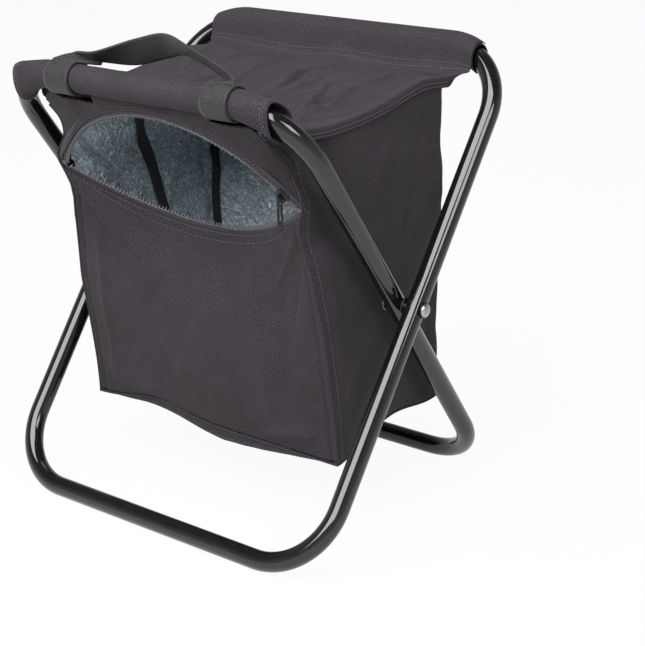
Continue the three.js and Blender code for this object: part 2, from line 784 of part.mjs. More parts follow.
for (const [name, side] of [['left', -1], ['right', 1]]) {
  const wall = faceted((u, v) => sideWall(side, u, v), sideColumns, sideRows);
  const panel = clothSlab(wall, sideColumns, sideRows, clothThickness);
  addPiece(stool, `side_panel_${name}`, panel, 'cloth');

  const linerColumns = within(sideColumns, linerFrontShare, linerBackShare);
  const linerRows = within(sideRows, linerTopShare, linerBottomShare);
  const liner = clothSlab(wall, linerColumns, linerRows, linerThickness, side * linerOffset);
  addPiece(stool, `liner_${name}`, liner, 'foil');

  const lean = (u, v) => {
    const middle = lerp(bindingTopShare, bindingBottomShare, v);
    return wall(middle + (u - 1 / 2) * bindingWidth / (bagBackY - bagFrontBottomY), v);
  };
  const tapeRows = within(sideRows, bindingEnds[0], bindingEnds[1]);
  const tape = clothSlab(lean, [0, 1], tapeRows, bindingThickness, side * tapeOnLiner);
  addPiece(stool, `binding_side_${name}`, tape, 'tape');
}

const backColumns = evenly(seatColumns);
const backOf = (u, v) => backWall(lerp(-wallInside, wallInside, u), v);
const backAcross = faceted(backOf, backColumns, sideRows);
const backPanel = clothSlab(backAcross, backColumns, sideRows, clothThickness);
addPiece(stool, 'back_panel', backPanel, 'cloth');

const backTrim = trim(linerInside, wallInside);
const backLiner = clothSlab(
  backAcross,
  within(backColumns, backTrim, 1 - backTrim),
  within(sideRows, linerTopShare, linerBottomShare),
  linerThickness,
  -linerOffset,
);
addPiece(stool, 'liner_back', backLiner, 'foil');

const tapeShare = bindingWidth / (2 * wallInside);
const tapeStart = backTrim + fit / wallInside;
for (const [name, low] of [['left', tapeStart], ['right', 1 - tapeStart - tapeShare]]) {
  const tapeRows = within(sideRows, bindingEnds[0], bindingEnds[1]);
  const tapeColumns = within(backColumns, low, low + tapeShare);
  const tape = clothSlab(backAcross, tapeColumns, tapeRows, bindingThickness, -tapeOnLiner);
  addPiece(stool, `binding_back_${name}`, tape, 'tape');
}

const floorRows = within(sideColumns, 0, 1);
const floorStops = evenly(floorColumns);
const floorOf = (u, v) => floorSurface(lerp(-seatHalfWidth, seatHalfWidth, u), v);
const floorAcross = faceted(floorOf, floorStops, floorRows);
const bottom = clothSlab(floorAcross, floorStops, floorRows, clothThickness);
addPiece(stool, 'bottom_panel', bottom, 'cloth');

const floorTrim = trim(linerInside, seatHalfWidth);
const linerFloor = clothSlab(
  floorAcross,
  within(floorStops, floorTrim, 1 - floorTrim),
  within(floorRows, floorLinerEnds[0], floorLinerEnds[1]),
  linerThickness,
  linerOffset,
);
addPiece(stool, 'liner_bottom', linerFloor, 'foil');

const seatTrim = trim(linerInside, seatHalfWidth);
const linerTop = clothSlab(
  faceted(seatSurface, evenly(seatColumns), evenly(seatRows)),
  within(evenly(seatColumns), seatTrim, 1 - seatTrim),
  within(evenly(seatRows), topLinerEnds[0], topLinerEnds[1]),
  linerThickness,
  linerOffset,
);
addPiece(stool, 'liner_top', linerTop, 'foil');

const frontTrim = trim(linerInside, wallInside);
const linerFront = clothSlab(
  faceted(frontPanel, evenly(panelColumns), evenly(panelRows)),
  within(evenly(panelColumns), frontTrim, 1 - frontTrim),
  within(evenly(panelRows), linerTopShare, linerBottomShare),
  linerThickness,
  linerOffset,
);
addPiece(stool, 'liner_front', linerFront, 'foil');

// Carry handle: a loop round the bar at each end, and the strap between them. Each row is a
// place along the strap, as shares of its reach, and the way its width faces there.

const strapRows = [
  [-0.86, 0.68, 0.46, [0.88, 0.34, -0.33]],
  [-0.65, 0.67, 0.54, [-0.53, 0.71, -0.46]],
  [-0.18, 0.96, 0.77, [-0.34, 0.35, -0.87]],
  [0.185, 0.99, 1.01, [-0.3, 0.49, -0.82]],
  [0.56, 0.5, 1.04, [-0.56, 0.7, -0.45]],
  [1.04, 0.6, 0.48, [-0.74, 0.6, -0.29]],
];
const strapRootAngle = THREE.MathUtils.degToRad(100);

// Both edges of the strap: its ends lie on the loops, across their tops
function strapEdges() {
  const rooted = (side) => ({
    place: vector(
      side * handleHalfSpan,
      loopOuter * Math.cos(strapRootAngle),
      loopOuter * Math.sin(strapRootAngle),
    ),
    way: vector(-side, 0, 0),
  });
  const middle = strapRows.map(([x, back, up, way]) => ({
    place: vector(x * handleHalfSpan, back * handleBack, up * handleRise),
    way: vector(...way).normalize(),
  }));
  const stations = [rooted(-1), ...middle, rooted(1)];
  return [-1, 1].map((side) => new THREE.CatmullRomCurve3(stations.map(({ place, way }) => (
    place.clone().add(frontAxis).addScaledVector(way, side * strapWidth / 2)
  ))));
}

function strap() {
  const [low, high] = strapEdges();
  const surface = (u, v) => low.getPoint(u).lerp(high.getPoint(u), v);
  return clothSlab(surface, evenly(strapSteps), evenly(2), strapThickness);
}

const loops = [-1, 1].map((side) => (
  ringAlongX(loopInner, loopOuter, strapWidth, roundSides)
    .translate(side * handleHalfSpan, frontAxis.y, frontAxis.z)
));
addPiece(stool, 'carry_handle', joined(strap(), ...loops), 'webbing');

// Zip slider and pull, drawn round the slider's middle: X along the arch, Y away from the
// mouth, Z out of the cloth.

const plateGap = chainThickness / 2 + fit;
const plateTop = plateGap + sliderPlate;

function sliderBody() {
  const half = vector(sliderLength, sliderWidth, 0).multiplyScalar(1 / 2);
  const plate = (low) => boxAt(vector(-half.x, -half.y, low), vector(half.x, half.y, low + sliderPlate));
  const postHigh = -chainWidth / 2 - fit;
  const post = boxAt(
    vector(half.x - postLength, postHigh - postWidth, -plateGap - sliderPlate / 2),
    vector(half.x, postHigh, plateGap + sliderPlate / 2),
  );
  const flange = boxAt(
    vector(-half.x, half.y - sliderFlange, zipTapeThickness / 2 + fit),
    vector(half.x, half.y, plateGap + sliderPlate / 2),
  );
  return [plate(plateGap), plate(-plateGap - sliderPlate), post, flange];
}

// The staple that holds the pull, in the plane across the stool, whatever the arch's slope
function staple(angle) {
  const foot = plateTop - sliderPlate / 2;
  const high = plateTop + stapleRoom + stapleBar;
  const half = stapleLength / 2;
  const wide = stapleWidth / 2;
  const legs = [-1, 1].map((side) => {
    const far = side * half;
    const near = side * (half - stapleBar);
    return boxAt(vector(-wide, Math.min(far, near), foot), vector(wide, Math.max(far, near), high));
  });
  const top = boxAt(vector(-wide, -half, high - stapleBar), vector(wide, half, high));
  return [...legs, top].map((bar) => bar.rotateZ(angle));
}

const sliderAngle = Math.asin(sliderX / zipRadius);
const sliderTurn = new THREE.Matrix4().makeBasis(
  radialAt(sliderAngle).cross(planeOut),
  radialAt(sliderAngle),
  planeOut,
).setPosition(onArc(sliderAngle, zipRadius));
const slider = joined(...sliderBody(), ...staple(sliderAngle)).applyMatrix4(sliderTurn);
addPiece(stool, 'zip_slider', slider, 'zip');

function zipPull() {
  const bar = rodAlongX(pullBar / 2, pullWidth, roundSides);
  const half = pullWidth / 2;
  const inside = stapleWidth / 2 + fit;
  const deep = pullThickness / 2;
  const arms = [-1, 1].map((side) => boxAt(
    vector(Math.min(side * inside, side * half), -deep, -pullNeck - deep),
    vector(Math.max(side * inside, side * half), deep, 0),
  ));
  const tongue = boxAt(vector(-half, -deep, -pullLength), vector(half, deep, -pullNeck));
  const slot = boxAt(
    vector(-pullSlotWidth / 2, -tubeDiameter, -pullNeck - pullSlotStart - pullSlotLength),
    vector(pullSlotWidth / 2, tubeDiameter, -pullNeck - pullSlotStart),
  );
  return cut(joined(bar, ...arms, tongue), slot);
}

const pullPin = onArc(sliderAngle, zipRadius).addScaledVector(planeOut, plateTop + stapleRoom / 2);
addPiece(stool, 'zip_pull', zipPull().translate(pullPin.x, pullPin.y, pullPin.z), 'zip');

export default stool;
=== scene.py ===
"""Looks of a folding cooler stool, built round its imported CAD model.

Lengths are millimetres until a mesh is made. X runs along the bars, Z is up and the zip is on -Y.
Cloth is laid out on the CAD model's own curves, then creased, hemmed and stitched.
"""

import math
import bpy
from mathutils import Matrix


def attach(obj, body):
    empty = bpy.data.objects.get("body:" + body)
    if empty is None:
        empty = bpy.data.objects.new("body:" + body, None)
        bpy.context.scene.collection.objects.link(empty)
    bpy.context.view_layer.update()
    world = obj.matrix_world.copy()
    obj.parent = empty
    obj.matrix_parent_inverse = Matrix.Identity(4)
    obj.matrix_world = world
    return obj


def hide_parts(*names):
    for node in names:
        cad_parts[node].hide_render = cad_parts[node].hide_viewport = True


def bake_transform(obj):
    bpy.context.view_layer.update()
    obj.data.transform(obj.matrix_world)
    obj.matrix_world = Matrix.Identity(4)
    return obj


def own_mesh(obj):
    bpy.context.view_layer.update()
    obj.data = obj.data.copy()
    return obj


bl_info = {
    "name": "Folding cooler stool",
    "version": (1, 0, 0),
    "blender": (4, 5, 0),
    "location": "View3D > Sidebar > Stool",
    "description": "Builds the looks of a folding stool with an insulated bag under its seat",
    "category": "Object",
}

import bmesh
import bpy
import numpy as np
from bpy.props import FloatProperty, FloatVectorProperty, PointerProperty
from mathutils import Matrix, Vector

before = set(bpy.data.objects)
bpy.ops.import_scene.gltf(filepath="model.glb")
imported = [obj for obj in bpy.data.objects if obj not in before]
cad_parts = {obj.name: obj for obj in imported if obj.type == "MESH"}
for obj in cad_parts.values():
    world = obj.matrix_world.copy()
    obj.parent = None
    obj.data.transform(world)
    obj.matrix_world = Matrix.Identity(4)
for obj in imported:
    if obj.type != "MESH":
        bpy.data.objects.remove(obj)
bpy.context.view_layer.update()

MM = 0.001
DOWN, UP = -1, 1

# Frames
TUBE_RADIUS = 8.0
TUBE_WALL = 1.0
OUTER_HALF_WIDTH = 165.3
INNER_HALF_WIDTH = 147.3
CORNER_RADIUS = 57.0
FOOT_ARM = 222.8
REAR_ARM = 221.8
FRONT_ARM = 214.3
HALF_ANGLE = math.radians(36)
PIVOT_HEIGHT = FOOT_ARM * math.cos(HALF_ANGLE) + TUBE_RADIUS
BUTT_GAP = 0.6
BEND_STEPS = 24
TUBE_SIDES = 40
FRAMES = (("outer", OUTER_HALF_WIDTH, REAR_ARM, 1), ("inner", INNER_HALF_WIDTH, FRONT_ARM, -1))

# Pivots
SHANK_RADIUS = 3.0
HEAD_RADIUS = 5.5
HEAD_HEIGHT = 2.6
TAIL_RADIUS = 4.5
TAIL_HEIGHT = 1.8
WASHER_RADIUS = 6.5
WASHER_THICKNESS = 0.8
SPACER_RADIUS = 7.0
PIVOT_FIT = 0.3
ROUND_SIDES = 48
HEAD_DOME = ((1.0, 0.0), (1.0, 0.18), (0.93, 0.42), (0.78, 0.66), (0.55, 0.86), (0.28, 0.97), (0.0, 1.0))
TAIL_DISH = ((0.0, 0.4), (1 / 3, 0.45), (0.62, 1.0), (0.8, 1.0), (1.0, 0.5), (0.96, 0.0))
EDGE_SHARE = 0.3
SHARP_DEGREES = 40
SMALL_SHARP_DEGREES = 50

# Cloth, and the sleeves it makes round the top bars
CLOTH = 0.9
SLEEVE_RADIUS = 10.6
REAR_SLEEVE_HALF = 138.6
FRONT_SLEEVE_HALF = 130.2
REAR_BRIDGE = 0.05
FRONT_BRIDGE = 0.5
BRIDGE_POWER = 5
TAUTNESS = 0.5
WRAP_RADIUS = 11.9
SLEEVE_COLUMNS = 90
SLEEVE_SIDES = 64
SLEEVE_SEAM = -80.0
SEAM_GAP = 1.0
SLEEVE_STITCHES = (5.0, 8.0)
SLEEVE_RIPPLES = ((34.0, 0.16),)
SLEEVE_RIPPLE_TURN = 3  # degrees round a sleeve that count as a millimetre of its ripples
SLEEVE_REACH = 12.12

# Seat. Each pair of SEAT_LINE is a share of the way from the rear bar to the front bar, and a
# share of the sag below the rear bar.
BAG_HALF_WIDTH = 128.0
SEAT_HALF_WIDTH = 128.8
SEAT_SAG = 33.0
SEAT_HOLLOW = 4.0
SEAT_RIPPLE = 1.6
SEAT_LINE = ((0.08, 0.46), (0.286, 0.47), (0.493, 0.76), (0.641, 0.87), (0.79, 0.87), (0.9, 0.72))
REAR_WRAP = (55.0, 154.5)
FRONT_WRAP = (24.0, 44.0)
SEAT_HEM = ((0.45, 1.2), (0.75, 3.4), (0.85, 6.0), (0.9, 8.4))
SEAT_COLUMNS = 180
SEAT_ROWS = 190
WRAP_ROWS = 18
FRONT_WRAP_ROWS = 6
FLARE_ENDS = (0.14, 0.175)
LEAST_HEM = 0.03
SEAT_CREASED = ((0.03, 0.14), (0.93, 1.0))
SEAT_HEMMED = ((0.15, 0.2), (0.9, 1.0))
SEAT_EDGE_POWER = 10
SEAT_HEIGHT_STEPS = 60
SLOT_HALF = 12.8
SLOT_RADIUS = 14.6
SEAT_STITCHES = (110.0, 113.2)
SIDE_STITCHES = (0.6, 1.7)
SIDE_STITCH_ENDS = (0.2, 0.9)

# Bag corners, seen from the side, and how its walls hang
BAG_BACK_Y = 93.0
BAG_BACK_TUCK = 9.0
BAG_FRONT_BOTTOM = (-50.0, 63.0)
BAG_BACK_BOTTOM_Z = 79.0
SIDE_ARCH = 12.0
BOTTOM_SAG = 33.0
SAG_FORWARD = 0.7
SEAM_BOW = 1.3
TUCK_POWER = 6
CORNER_TUCK = 10.0
CORNER_POWER = 5
SIDE_BELLY = 1.5
BACK_BELLY = 4.0
FRONT_BELLY = 12.0
DENT_POWER = 2
WALL_INSIDE = BAG_HALF_WIDTH - 1.1
WALL_HOLD = 12.0
WALL_HOLD_POWER = 0.5
WALL_RIPPLES = ((64.0, 0.6), (24.0, 0.18))
FLOOR_HALF_WIDTH = BAG_HALF_WIDTH - 0.2
FLOOR_EDGE_POWER = 12
STRIP_LEAVES = -80.0
STRIP_LEAVES_RADIUS = 11.4
STRIP_FOOT = (-92.06, 287.27)
STRIP_HEAD = (-115.2, 336.9)
STRIP_HALF_WIDTH = 126.3
DRAWN_IN = (
    (180, 0), (232, 3), (250, 7), (262, 7.5), (272, 4), (281, 0), (289, 0), (303, 8), (320, 13), (348, 18),
)
DRAWN_FADES = 0.35
SEAM_AHEAD = 10.0  # the wall's front edge laps this far down the strip's
LEFT_LEAN = ((63, 10), (94, 8.5), (172, 7), (229, 0))
SEAM_RISE = (9.0, -62.0, 38.0)
CORNER_GROOVE = (1.8, 1.9, 5.0)
GROOVE_STARTS = 0.05
FRONT_TOP = 8.45  # from the lower lip to where the panel leaves the zip's tape
FRONT_CREASED = (1, 9)
FRONT_EDGE_POWER = 16
SLIT_SHIFT = 8.5
OVER_TAPE = 0.9
OVER_TAPE_ENDS = 20.28  # how far down the panel it still stands out over the tape
SEAM_LIFT = 1.1
UNDER_SEAT = 2.0
EDGE_ROWS = 4
STRIP_COLUMNS = 130
STRIP_ROWS = 26
FRONT_COLUMNS = 200
FRONT_ROWS = 110
SIDE_COLUMNS = 72
BACK_COLUMNS = 90
WALL_ROWS = 110
FLOOR_COLUMNS = 90
FLOOR_ROWS = 60
CORNER_SPAN = 3
CORNER_PASSES = 6
CORNER_SQUARES = (0.86, 1.0)
PUCKER = 0.3
PUCKER_LENGTH = 5.0
PUCKER_ROW = 6.0
PUCKER_WIDTH = 4.0
PUCKER_DRIFT = 30.0
WELT_RADIUS = 0.9
WELT_SIDES = 10
CORNER_SEAM_DROP = 4.0
CORNER_SEAM_IN = 0.3
CORNER_SEAM_OUT = 0.4
CORNER_SEAM_STEPS = 120
STRIP_STITCHES = (2.0, 5.2)
FRONT_STITCHES = (1.6, 8.0)
CORNER_STITCH = 2.5
FLOOR_STITCH = 2.0
STRIP_CUT = (0.26, 0.055, 0.0072)
FRONT_CUT = (0.262, 0.235, 0.049)
WALL_CUT = (0.68, 0.28, 0.156)
FLOOR_CUT = (0.26, 0.17, 0.039)
BAG_SHEETS = (
    ("front_strip", "bag_front", ("front_strip",), STRIP_CUT),
    ("front_panel", "bag_front", ("front_panel",), FRONT_CUT),
    ("bag_walls", "bag", ("side_panel_left", "side_panel_right", "back_panel"), WALL_CUT),
    ("bag_bottom", "bag", ("bottom_panel",), FLOOR_CUT),
)

# Zip: an arch whose corners and apex are given as places seen from the side
ZIP_HALF_WIDTH = 122.0
ZIP_CORNER = (-88.0, 279.0)
ZIP_APEX = (-117.0, 338.0)
LIP_DROP = 40.0
LIP_INSET = 40.0
LIP_LEAN = (-0.35, 0.3)
TAPE_INNER = 1.75
TAPE_OUTER = 8.15
TAPE_THICKNESS = 0.8
TAPE_COVERED = 4.2
TAPE_COLUMNS = 150
TAPE_ROWS = 6
UPPER_TAPE_REACH = 1.03
CORE_RADIUS = 0.5
CORE_BACK = 0.6
CORE_OUT = 0.5
CORE_SIDES = 8
CORE_STEPS = 200
TOOTH_STAGGER = 0.15
TOOTH_SLANT = 0.12
TOOTH_LENGTH = 4.2
TOOTH_RADIUS = 0.78
TOOTH_SIDES = 8
CHAIN_HALF_WIDTH = 120.0
STOP_SIZE = (5.0, 4.4, 2.4)
STOP_RISE = 1.0
SLIDER_X = 112.0
SLIDER_OUTLINE = (
    (-1.0, -0.62), (-0.7, -0.8), (0.1, -0.92), (0.72, -1.0), (1.0, -0.72), (0.86, 0.0),
    (1.0, 0.72), (0.72, 1.0), (0.1, 0.92), (-0.7, 0.8), (-1.0, 0.62),
)
SLIDER_SIZE = (11.0, 10.0)
SLIDER_PLATE = 1.2
SLIDER_GAP = 1.5
SLIDER_LIP = (0.9, 0.7, 0.4)
LIP_THICKNESS = 1.0
POST_LENGTH = 3.0
POST_SIDES = (-3.75, -1.75)
STAPLE_LENGTH = 5.4
STAPLE_WIDTH = 1.6
STAPLE_BAR = 1.0
STAPLE_ROOM = 2.4
STAPLE_SUNK = 0.5
PULL_BAR = 1.4
PULL_BAR_SIDES = 16
PULL_ARM_TOP = 0.3
PULL_THICKNESS = 1.2
PULL_WIDTH = 5.0
PULL_NECK = 5.0
PULL_LENGTH = 25.0
PULL_SLOT = (1.8, 3.0, 10.0)
PULL_TIP = (0.45, 2.0)
OVERLAP = 0.2
LIP_BEVEL = 0.15
SMALL_BEVEL = 0.2
PULL_BEVEL = 0.25
SLIDER_BEVEL = 0.3
ROUND_BEVEL = 0.35

# Handle. Each row is a place along the strap, as shares of its span, reach back and rise, and the
# way its width faces there.
STRAP_WIDTH = 25.0
STRAP_THICKNESS = 1.6
HANDLE_HALF_SPAN = 80.0
HANDLE_BACK = 17.0
HANDLE_RISE = 30.0
LOOP_INNER = 11.85
LOOP_OUTER = LOOP_INNER + STRAP_THICKNESS
STRAP_ROOT = math.radians(100)
STRAP_ROWS = (
    (-0.79, 0.68, 0.46, (0.88, 0.34, -0.33)),
    (-0.65, 0.67, 0.54, (-0.53, 0.71, -0.46)),
    (-0.18, 0.96, 0.77, (-0.34, 0.35, -0.87)),
    (0.185, 0.99, 1.01, (-0.3, 0.49, -0.82)),
    (0.56, 0.5, 1.04, (-0.56, 0.7, -0.45)),
    (1.04, 0.6, 0.48, (-0.74, 0.6, -0.29)),
)
STRAP_STEPS = 150
STRAP_COLUMNS = 10
STRAP_STITCH_INSET = 2.6
LOOP_STEPS = 72
LOOP_GAP = 2.0
LOOP_SHIFT = 6.0
STRAP_CUT = (0.19, 0.025)
LOOP_CUT = (0.079, 0.025)
STRAP_BOXES = ((0.01, 0.12), (0.88, 0.99))
LOOP_BOXES = ((0.02, 0.2),)
SLIT_LENGTH = 42.0
SLIT_RADIUS = 19.0

# Lining
FOIL = 0.5
FOIL_OFFSET = 4.0
BINDING = 0.8
BINDING_WIDTH = 11.0
TAPE_CLEAR = 0.7
BINDING_TOP = 0.46
BINDING_BOTTOM = 0.78
BINDING_ENDS = (0.1, 0.86)
BINDING_ROWS = 70
BINDING_COLUMNS = 6
CORNER_TAPE = 7.0
FOIL_EDGE = 4
FLOOR_FOIL_EDGE = 5
TOP_FOIL_EDGE = 17
FOIL_SEED = 60
FOIL_RIPPLES = ((14.0, 0.5), (5.5, 0.5))
FOIL_ROUGHNESS = 0.35
WALL_FOIL = (0.66, 0.26, 0.14)
FRONT_FOIL = (0.25, 0.21, 0.041)
FLOOR_FOIL = (0.25, 0.15, 0.031)
TOP_FOIL = (0.26, 0.19, 0.0475)

WALL_LINERS = ("liner_left", "liner_right", "liner_back")

# Each row is a name, a body, the nodes that it stands for, the share of the cloth that it covers from
# top to bottom, the side of the cloth that it lies on, its cells and its cut size.
FOIL_SHEETS = (
    ("foil_walls", "bag", WALL_LINERS, (0.085, 0.93), DOWN, (330, 130), WALL_FOIL),
    ("foil_front", "bag_front", ("liner_front",), (0.03, 0.95), UP, (130, 80), FRONT_FOIL),
    ("foil_bottom", "bag", ("liner_bottom",), (0.08, 0.9), UP, (130, 70), FLOOR_FOIL),
    ("foil_top", "seat", ("liner_top",), (0.2, 0.84), UP, (130, 100), TOP_FOIL),
)

# Folds, as seen on the cloth: where one starts and ends, its half width and its height
SEAT_FOLDS = (
    ((126, 106), (99, 52), 2.6, 2.0),
    ((104, 66), (84, 16), 2.6, 2.0),
    ((85, 30), (91, -12), 2.4, 1.8),
    ((86, -8), (104, -68), 2.4, 1.9),
    ((-66, -16), (-24, 92), 2.6, 1.9),
    ((32, -24), (6, 58), 2.6, 1.9),
    ((8, 48), (26, 88), 2.6, 1.6),
    ((78, -32), (52, 50), 2.6, 1.9),
    ((54, 44), (84, 102), 2.6, 1.6),
    ((-27, -18), (-29, 58), 2.6, 1.5),
    ((-83, -3), (-53, 102), 3.1, 1.5),
    ((-58, -5), (-24, 102), 2.8, -1.2),
    ((25, -11), (10, 85), 3.1, -1.8),
    ((40, -8), (33, 74), 2.8, 1.3),
    ((51, -2), (92, 103), 3.7, 1.6),
    ((72, -14), (84, 32), 2.5, -1.6),
    ((91, -30), (106, 4), 2.5, 1.7),
    ((70, -54), (64, 6), 3.1, 1.4),
    ((106, -66), (122, -10), 3.1, -1.4),
    ((110, -96), (66, -40), 3.7, 1.8),
    ((-112, -92), (-64, -30), 3.7, 1.6),
    ((-118, 88), (-84, 12), 3.7, 1.3),
    ((116, 92), (112, 20), 3.1, 1.2),
    ((-20, -84), (-34, -20), 3.7, -1.3),
    ((22, -88), (38, -38), 3.1, 1.0),
)
FRONT_FOLDS = (
    ((-120, 262), (-72, 208), 2.8, 2.7),
    ((-112, 250), (-82, 186), 4.0, -1.4),
    ((-104, 238), (-112, 78), 6.0, 1.5),
    ((118, 262), (82, 208), 3.5, 1.6),
    ((116, 246), (98, 180), 7.0, -1.6),
    ((90, 215), (84, 98), 15.0, -2.2),
    ((58, 190), (66, 96), 13.0, 1.6),
    ((-60, 180), (-40, 92), 14.0, -1.5),
    ((-6, 210), (6, 120), 16.0, 1.3),
    ((-116, 92), (-60, 74), 6.0, 1.6),
    ((112, 86), (52, 72), 6.0, 1.5),
)
SIDE_FOLDS = (
    ((-92, 322), (-30, 262), 5.6, 2.1),
    ((-84, 296), (10, 204), 6.3, -2.1),
    ((82, 334), (80, 236), 4.9, 2.0),
    ((64, 330), (30, 214), 7.0, -1.8),
    ((-60, 228), (-42, 110), 6.3, 1.6),
    ((78, 200), (70, 108), 5.6, -1.8),
    ((10, 150), (-36, 88), 6.3, 1.6),
    ((24, 330), (-8, 270), 5.6, 1.6),
)
BACK_FOLDS = (
    ((-110, 330), (-60, 220), 9.0, 1.5),
    ((112, 328), (66, 230), 9.0, -1.5),
    ((-30, 300), (-10, 150), 14.0, 1.6),
    ((60, 180), (88, 96), 10.0, 1.4),
    ((-90, 150), (-70, 92), 9.0, -1.4),
)
FLOOR_FOLDS = (
    ((-112, -42), (-50, 10), 7.0, 1.6),
    ((114, -40), (56, 12), 7.0, -1.6),
    ((-108, 76), (-52, 30), 7.0, -1.3),
    ((104, 78), (60, 36), 7.0, 1.4),
    ((-8, -46), (6, 40), 12.0, 1.4),
)
STRIP_FOLDS = (
    ((-118, 330), (-70, 336), 4.0, 0.9),
    ((-30, 346), (20, 344), 3.5, 0.5),
    ((60, 338), (112, 312), 4.0, 0.9),
)
CREASE_POWER = 1.2
SOFT_RIPPLES = ((70.0, 0.45), (23.0, 0.16))
RIPPLE_WAVES = 6

# Stitches and thread
THREAD_RADIUS = 0.42
STITCH_SHARE = 0.72
STITCH_SIDES = 6
ROD_OUTLINE = ((-1.0, 0.35), (-0.86, 0.82), (-0.6, 1.0), (0.6, 1.0), (0.86, 0.82), (1.0, 0.35))
PATH_STEPS = 400

# Camera, solved from the photograph, and the studio
CAMERA_PLACE = (841.837, -971.747, 597.669)
CAMERA_RIGHT = (0.78641, 0.61764, -0.00899)
CAMERA_UP = (-0.20051, 0.26900, 0.94204)
FOCAL_PIXELS = 1615.09
PHOTO_WIDTH = 645
SENSOR_WIDTH = 36.0
FLOOR_HALF = 6000.0
FLOOR_GLOW = 0.95
FLOOR_SHINE = 0.5
WORLD_TOP = 0.7
WORLD_LOW = 0.6
WORLD_HIGH = 0.12
WORLD_FILL = 0.2
LAMPS = (
    ((150, -1290, 1740), 2000, 4.6),
    ((1500, -400, 1300), 700, 0.5),
    ((-500, 700, 1900), 800, 0.08),
)


def hex_parts(code):
    """The red, green and blue of a #rrggbb code, from 0 to 1."""
    return tuple(int(code[i : i + 2], 16) / 255 for i in (1, 3, 5))


class StoolLook(bpy.types.PropertyGroup):
    """Sizes and colours of the stool's looks."""

    cloth_colour: FloatVectorProperty(
        name="Cloth", description="Polyester cloth, sRGB", subtype="COLOR_GAMMA", size=3,
        min=0, max=1, default=hex_parts("#282229"),
    )
    webbing_colour: FloatVectorProperty(
        name="Webbing", description="Handle webbing, sRGB", subtype="COLOR_GAMMA", size=3,
        min=0, max=1, default=hex_parts("#19181a"),
    )
    tube_colour: FloatVectorProperty(
        name="Tube", description="Powder coat on the tubes, sRGB", subtype="COLOR_GAMMA", size=3,
        min=0, max=1, default=hex_parts("#0d0d0e"),
    )
    foil_colour: FloatVectorProperty(
        name="Foil", description="Foil lining, sRGB", subtype="COLOR_GAMMA", size=3,
        min=0, max=1, default=hex_parts("#e0edf5"),
    )
    crease_depth: FloatProperty(
        name="Creases", description="Depth of the cloth's creases, as a share of the photographed ones",
        subtype="FACTOR", min=0, max=4, default=2.0,
    )
    foil_crinkle: FloatProperty(
        name="Foil crinkle", description="Height of the lining's crinkles", subtype="DISTANCE",
        unit="LENGTH", min=0, max=0.002, default=0.0008,
    )
    stitch_pitch: FloatProperty(
        name="Stitch length", description="From one stitch to the next", subtype="DISTANCE",
        unit="LENGTH", min=0.002, max=0.01, default=0.0034,
    )
    tooth_pitch: FloatProperty(
        name="Zip pitch", description="From one zip tooth to the next", subtype="DISTANCE",
        unit="LENGTH", min=0.001, max=0.006, default=0.003,
    )
    lamp_power: FloatProperty(
        name="Lamps", description="Power of the largest soft lamp", unit="POWER",
        min=0, max=1000, default=20,
    )


def look():
    return bpy.context.scene.stool_look


def mix(a, b, share):
    return a + (b - a) * share


def evenly(low, high, count):
    return np.linspace(low, high, count + 1)


def eased(low, high, value):
    """0 below low, 1 above high and a smooth rise between."""
    share = np.clip((value - low) / (high - low), 0, 1)
    return share * share * (3 - 2 * share)


def within(ends, value):
    """Rises from 0 to 1 over the first pair of ends, and falls again over the second."""
    rise, fall = ends
    return eased(*rise, value) * (1 - eased(*fall, value))


def unit(vectors):
    return vectors / np.maximum(np.linalg.norm(vectors, axis=-1, keepdims=True), 1e-9)


def bend_past(x, half_width):
    """How far a place on a top bar is past the start of its bend."""
    return np.maximum(0.0, np.abs(x) - (half_width - CORNER_RADIUS))


def bar_line(x, half_width, top_arm, lean):
    """Where a top bar's centre line runs: its y and z at each x."""
    arm = top_arm - CORNER_RADIUS + np.sqrt(CORNER_RADIUS**2 - bend_past(x, half_width) ** 2)
    return lean * arm * math.sin(HALF_ANGLE), PIVOT_HEIGHT + arm * math.cos(HALF_ANGLE)


def rear_bar(x):
    return bar_line(x, OUTER_HALF_WIDTH, REAR_ARM, 1)


def front_bar(x):
    return bar_line(x, INNER_HALF_WIDTH, FRONT_ARM, -1)


REAR_Y, REAR_Z = rear_bar(0.0)
FRONT_Y, FRONT_Z = front_bar(0.0)
FRONT_AXIS = np.array([0, FRONT_Y, FRONT_Z])

ZIP_RISE = math.hypot(ZIP_APEX[0] - ZIP_CORNER[0], ZIP_APEX[1] - ZIP_CORNER[1])
ZIP_RADIUS = (ZIP_HALF_WIDTH**2 + ZIP_RISE**2) / (2 * ZIP_RISE)
PLANE_UP = np.array([0, ZIP_APEX[0] - ZIP_CORNER[0], ZIP_APEX[1] - ZIP_CORNER[1]]) / ZIP_RISE
PLANE_OUT = np.array([0, -PLANE_UP[2], PLANE_UP[1]])
ARC_CENTRE = np.array([0, *ZIP_CORNER]) + PLANE_UP * (ZIP_RISE - ZIP_RADIUS)


def by_rear_bar(x, degrees, radius):
    return by_bar(x, rear_bar(x), (OUTER_HALF_WIDTH, REAR_BRIDGE, 1), degrees, radius)


def by_front_bar(x, degrees, radius):
    return by_bar(x, front_bar(x), (INNER_HALF_WIDTH, FRONT_BRIDGE, -1), degrees, radius)


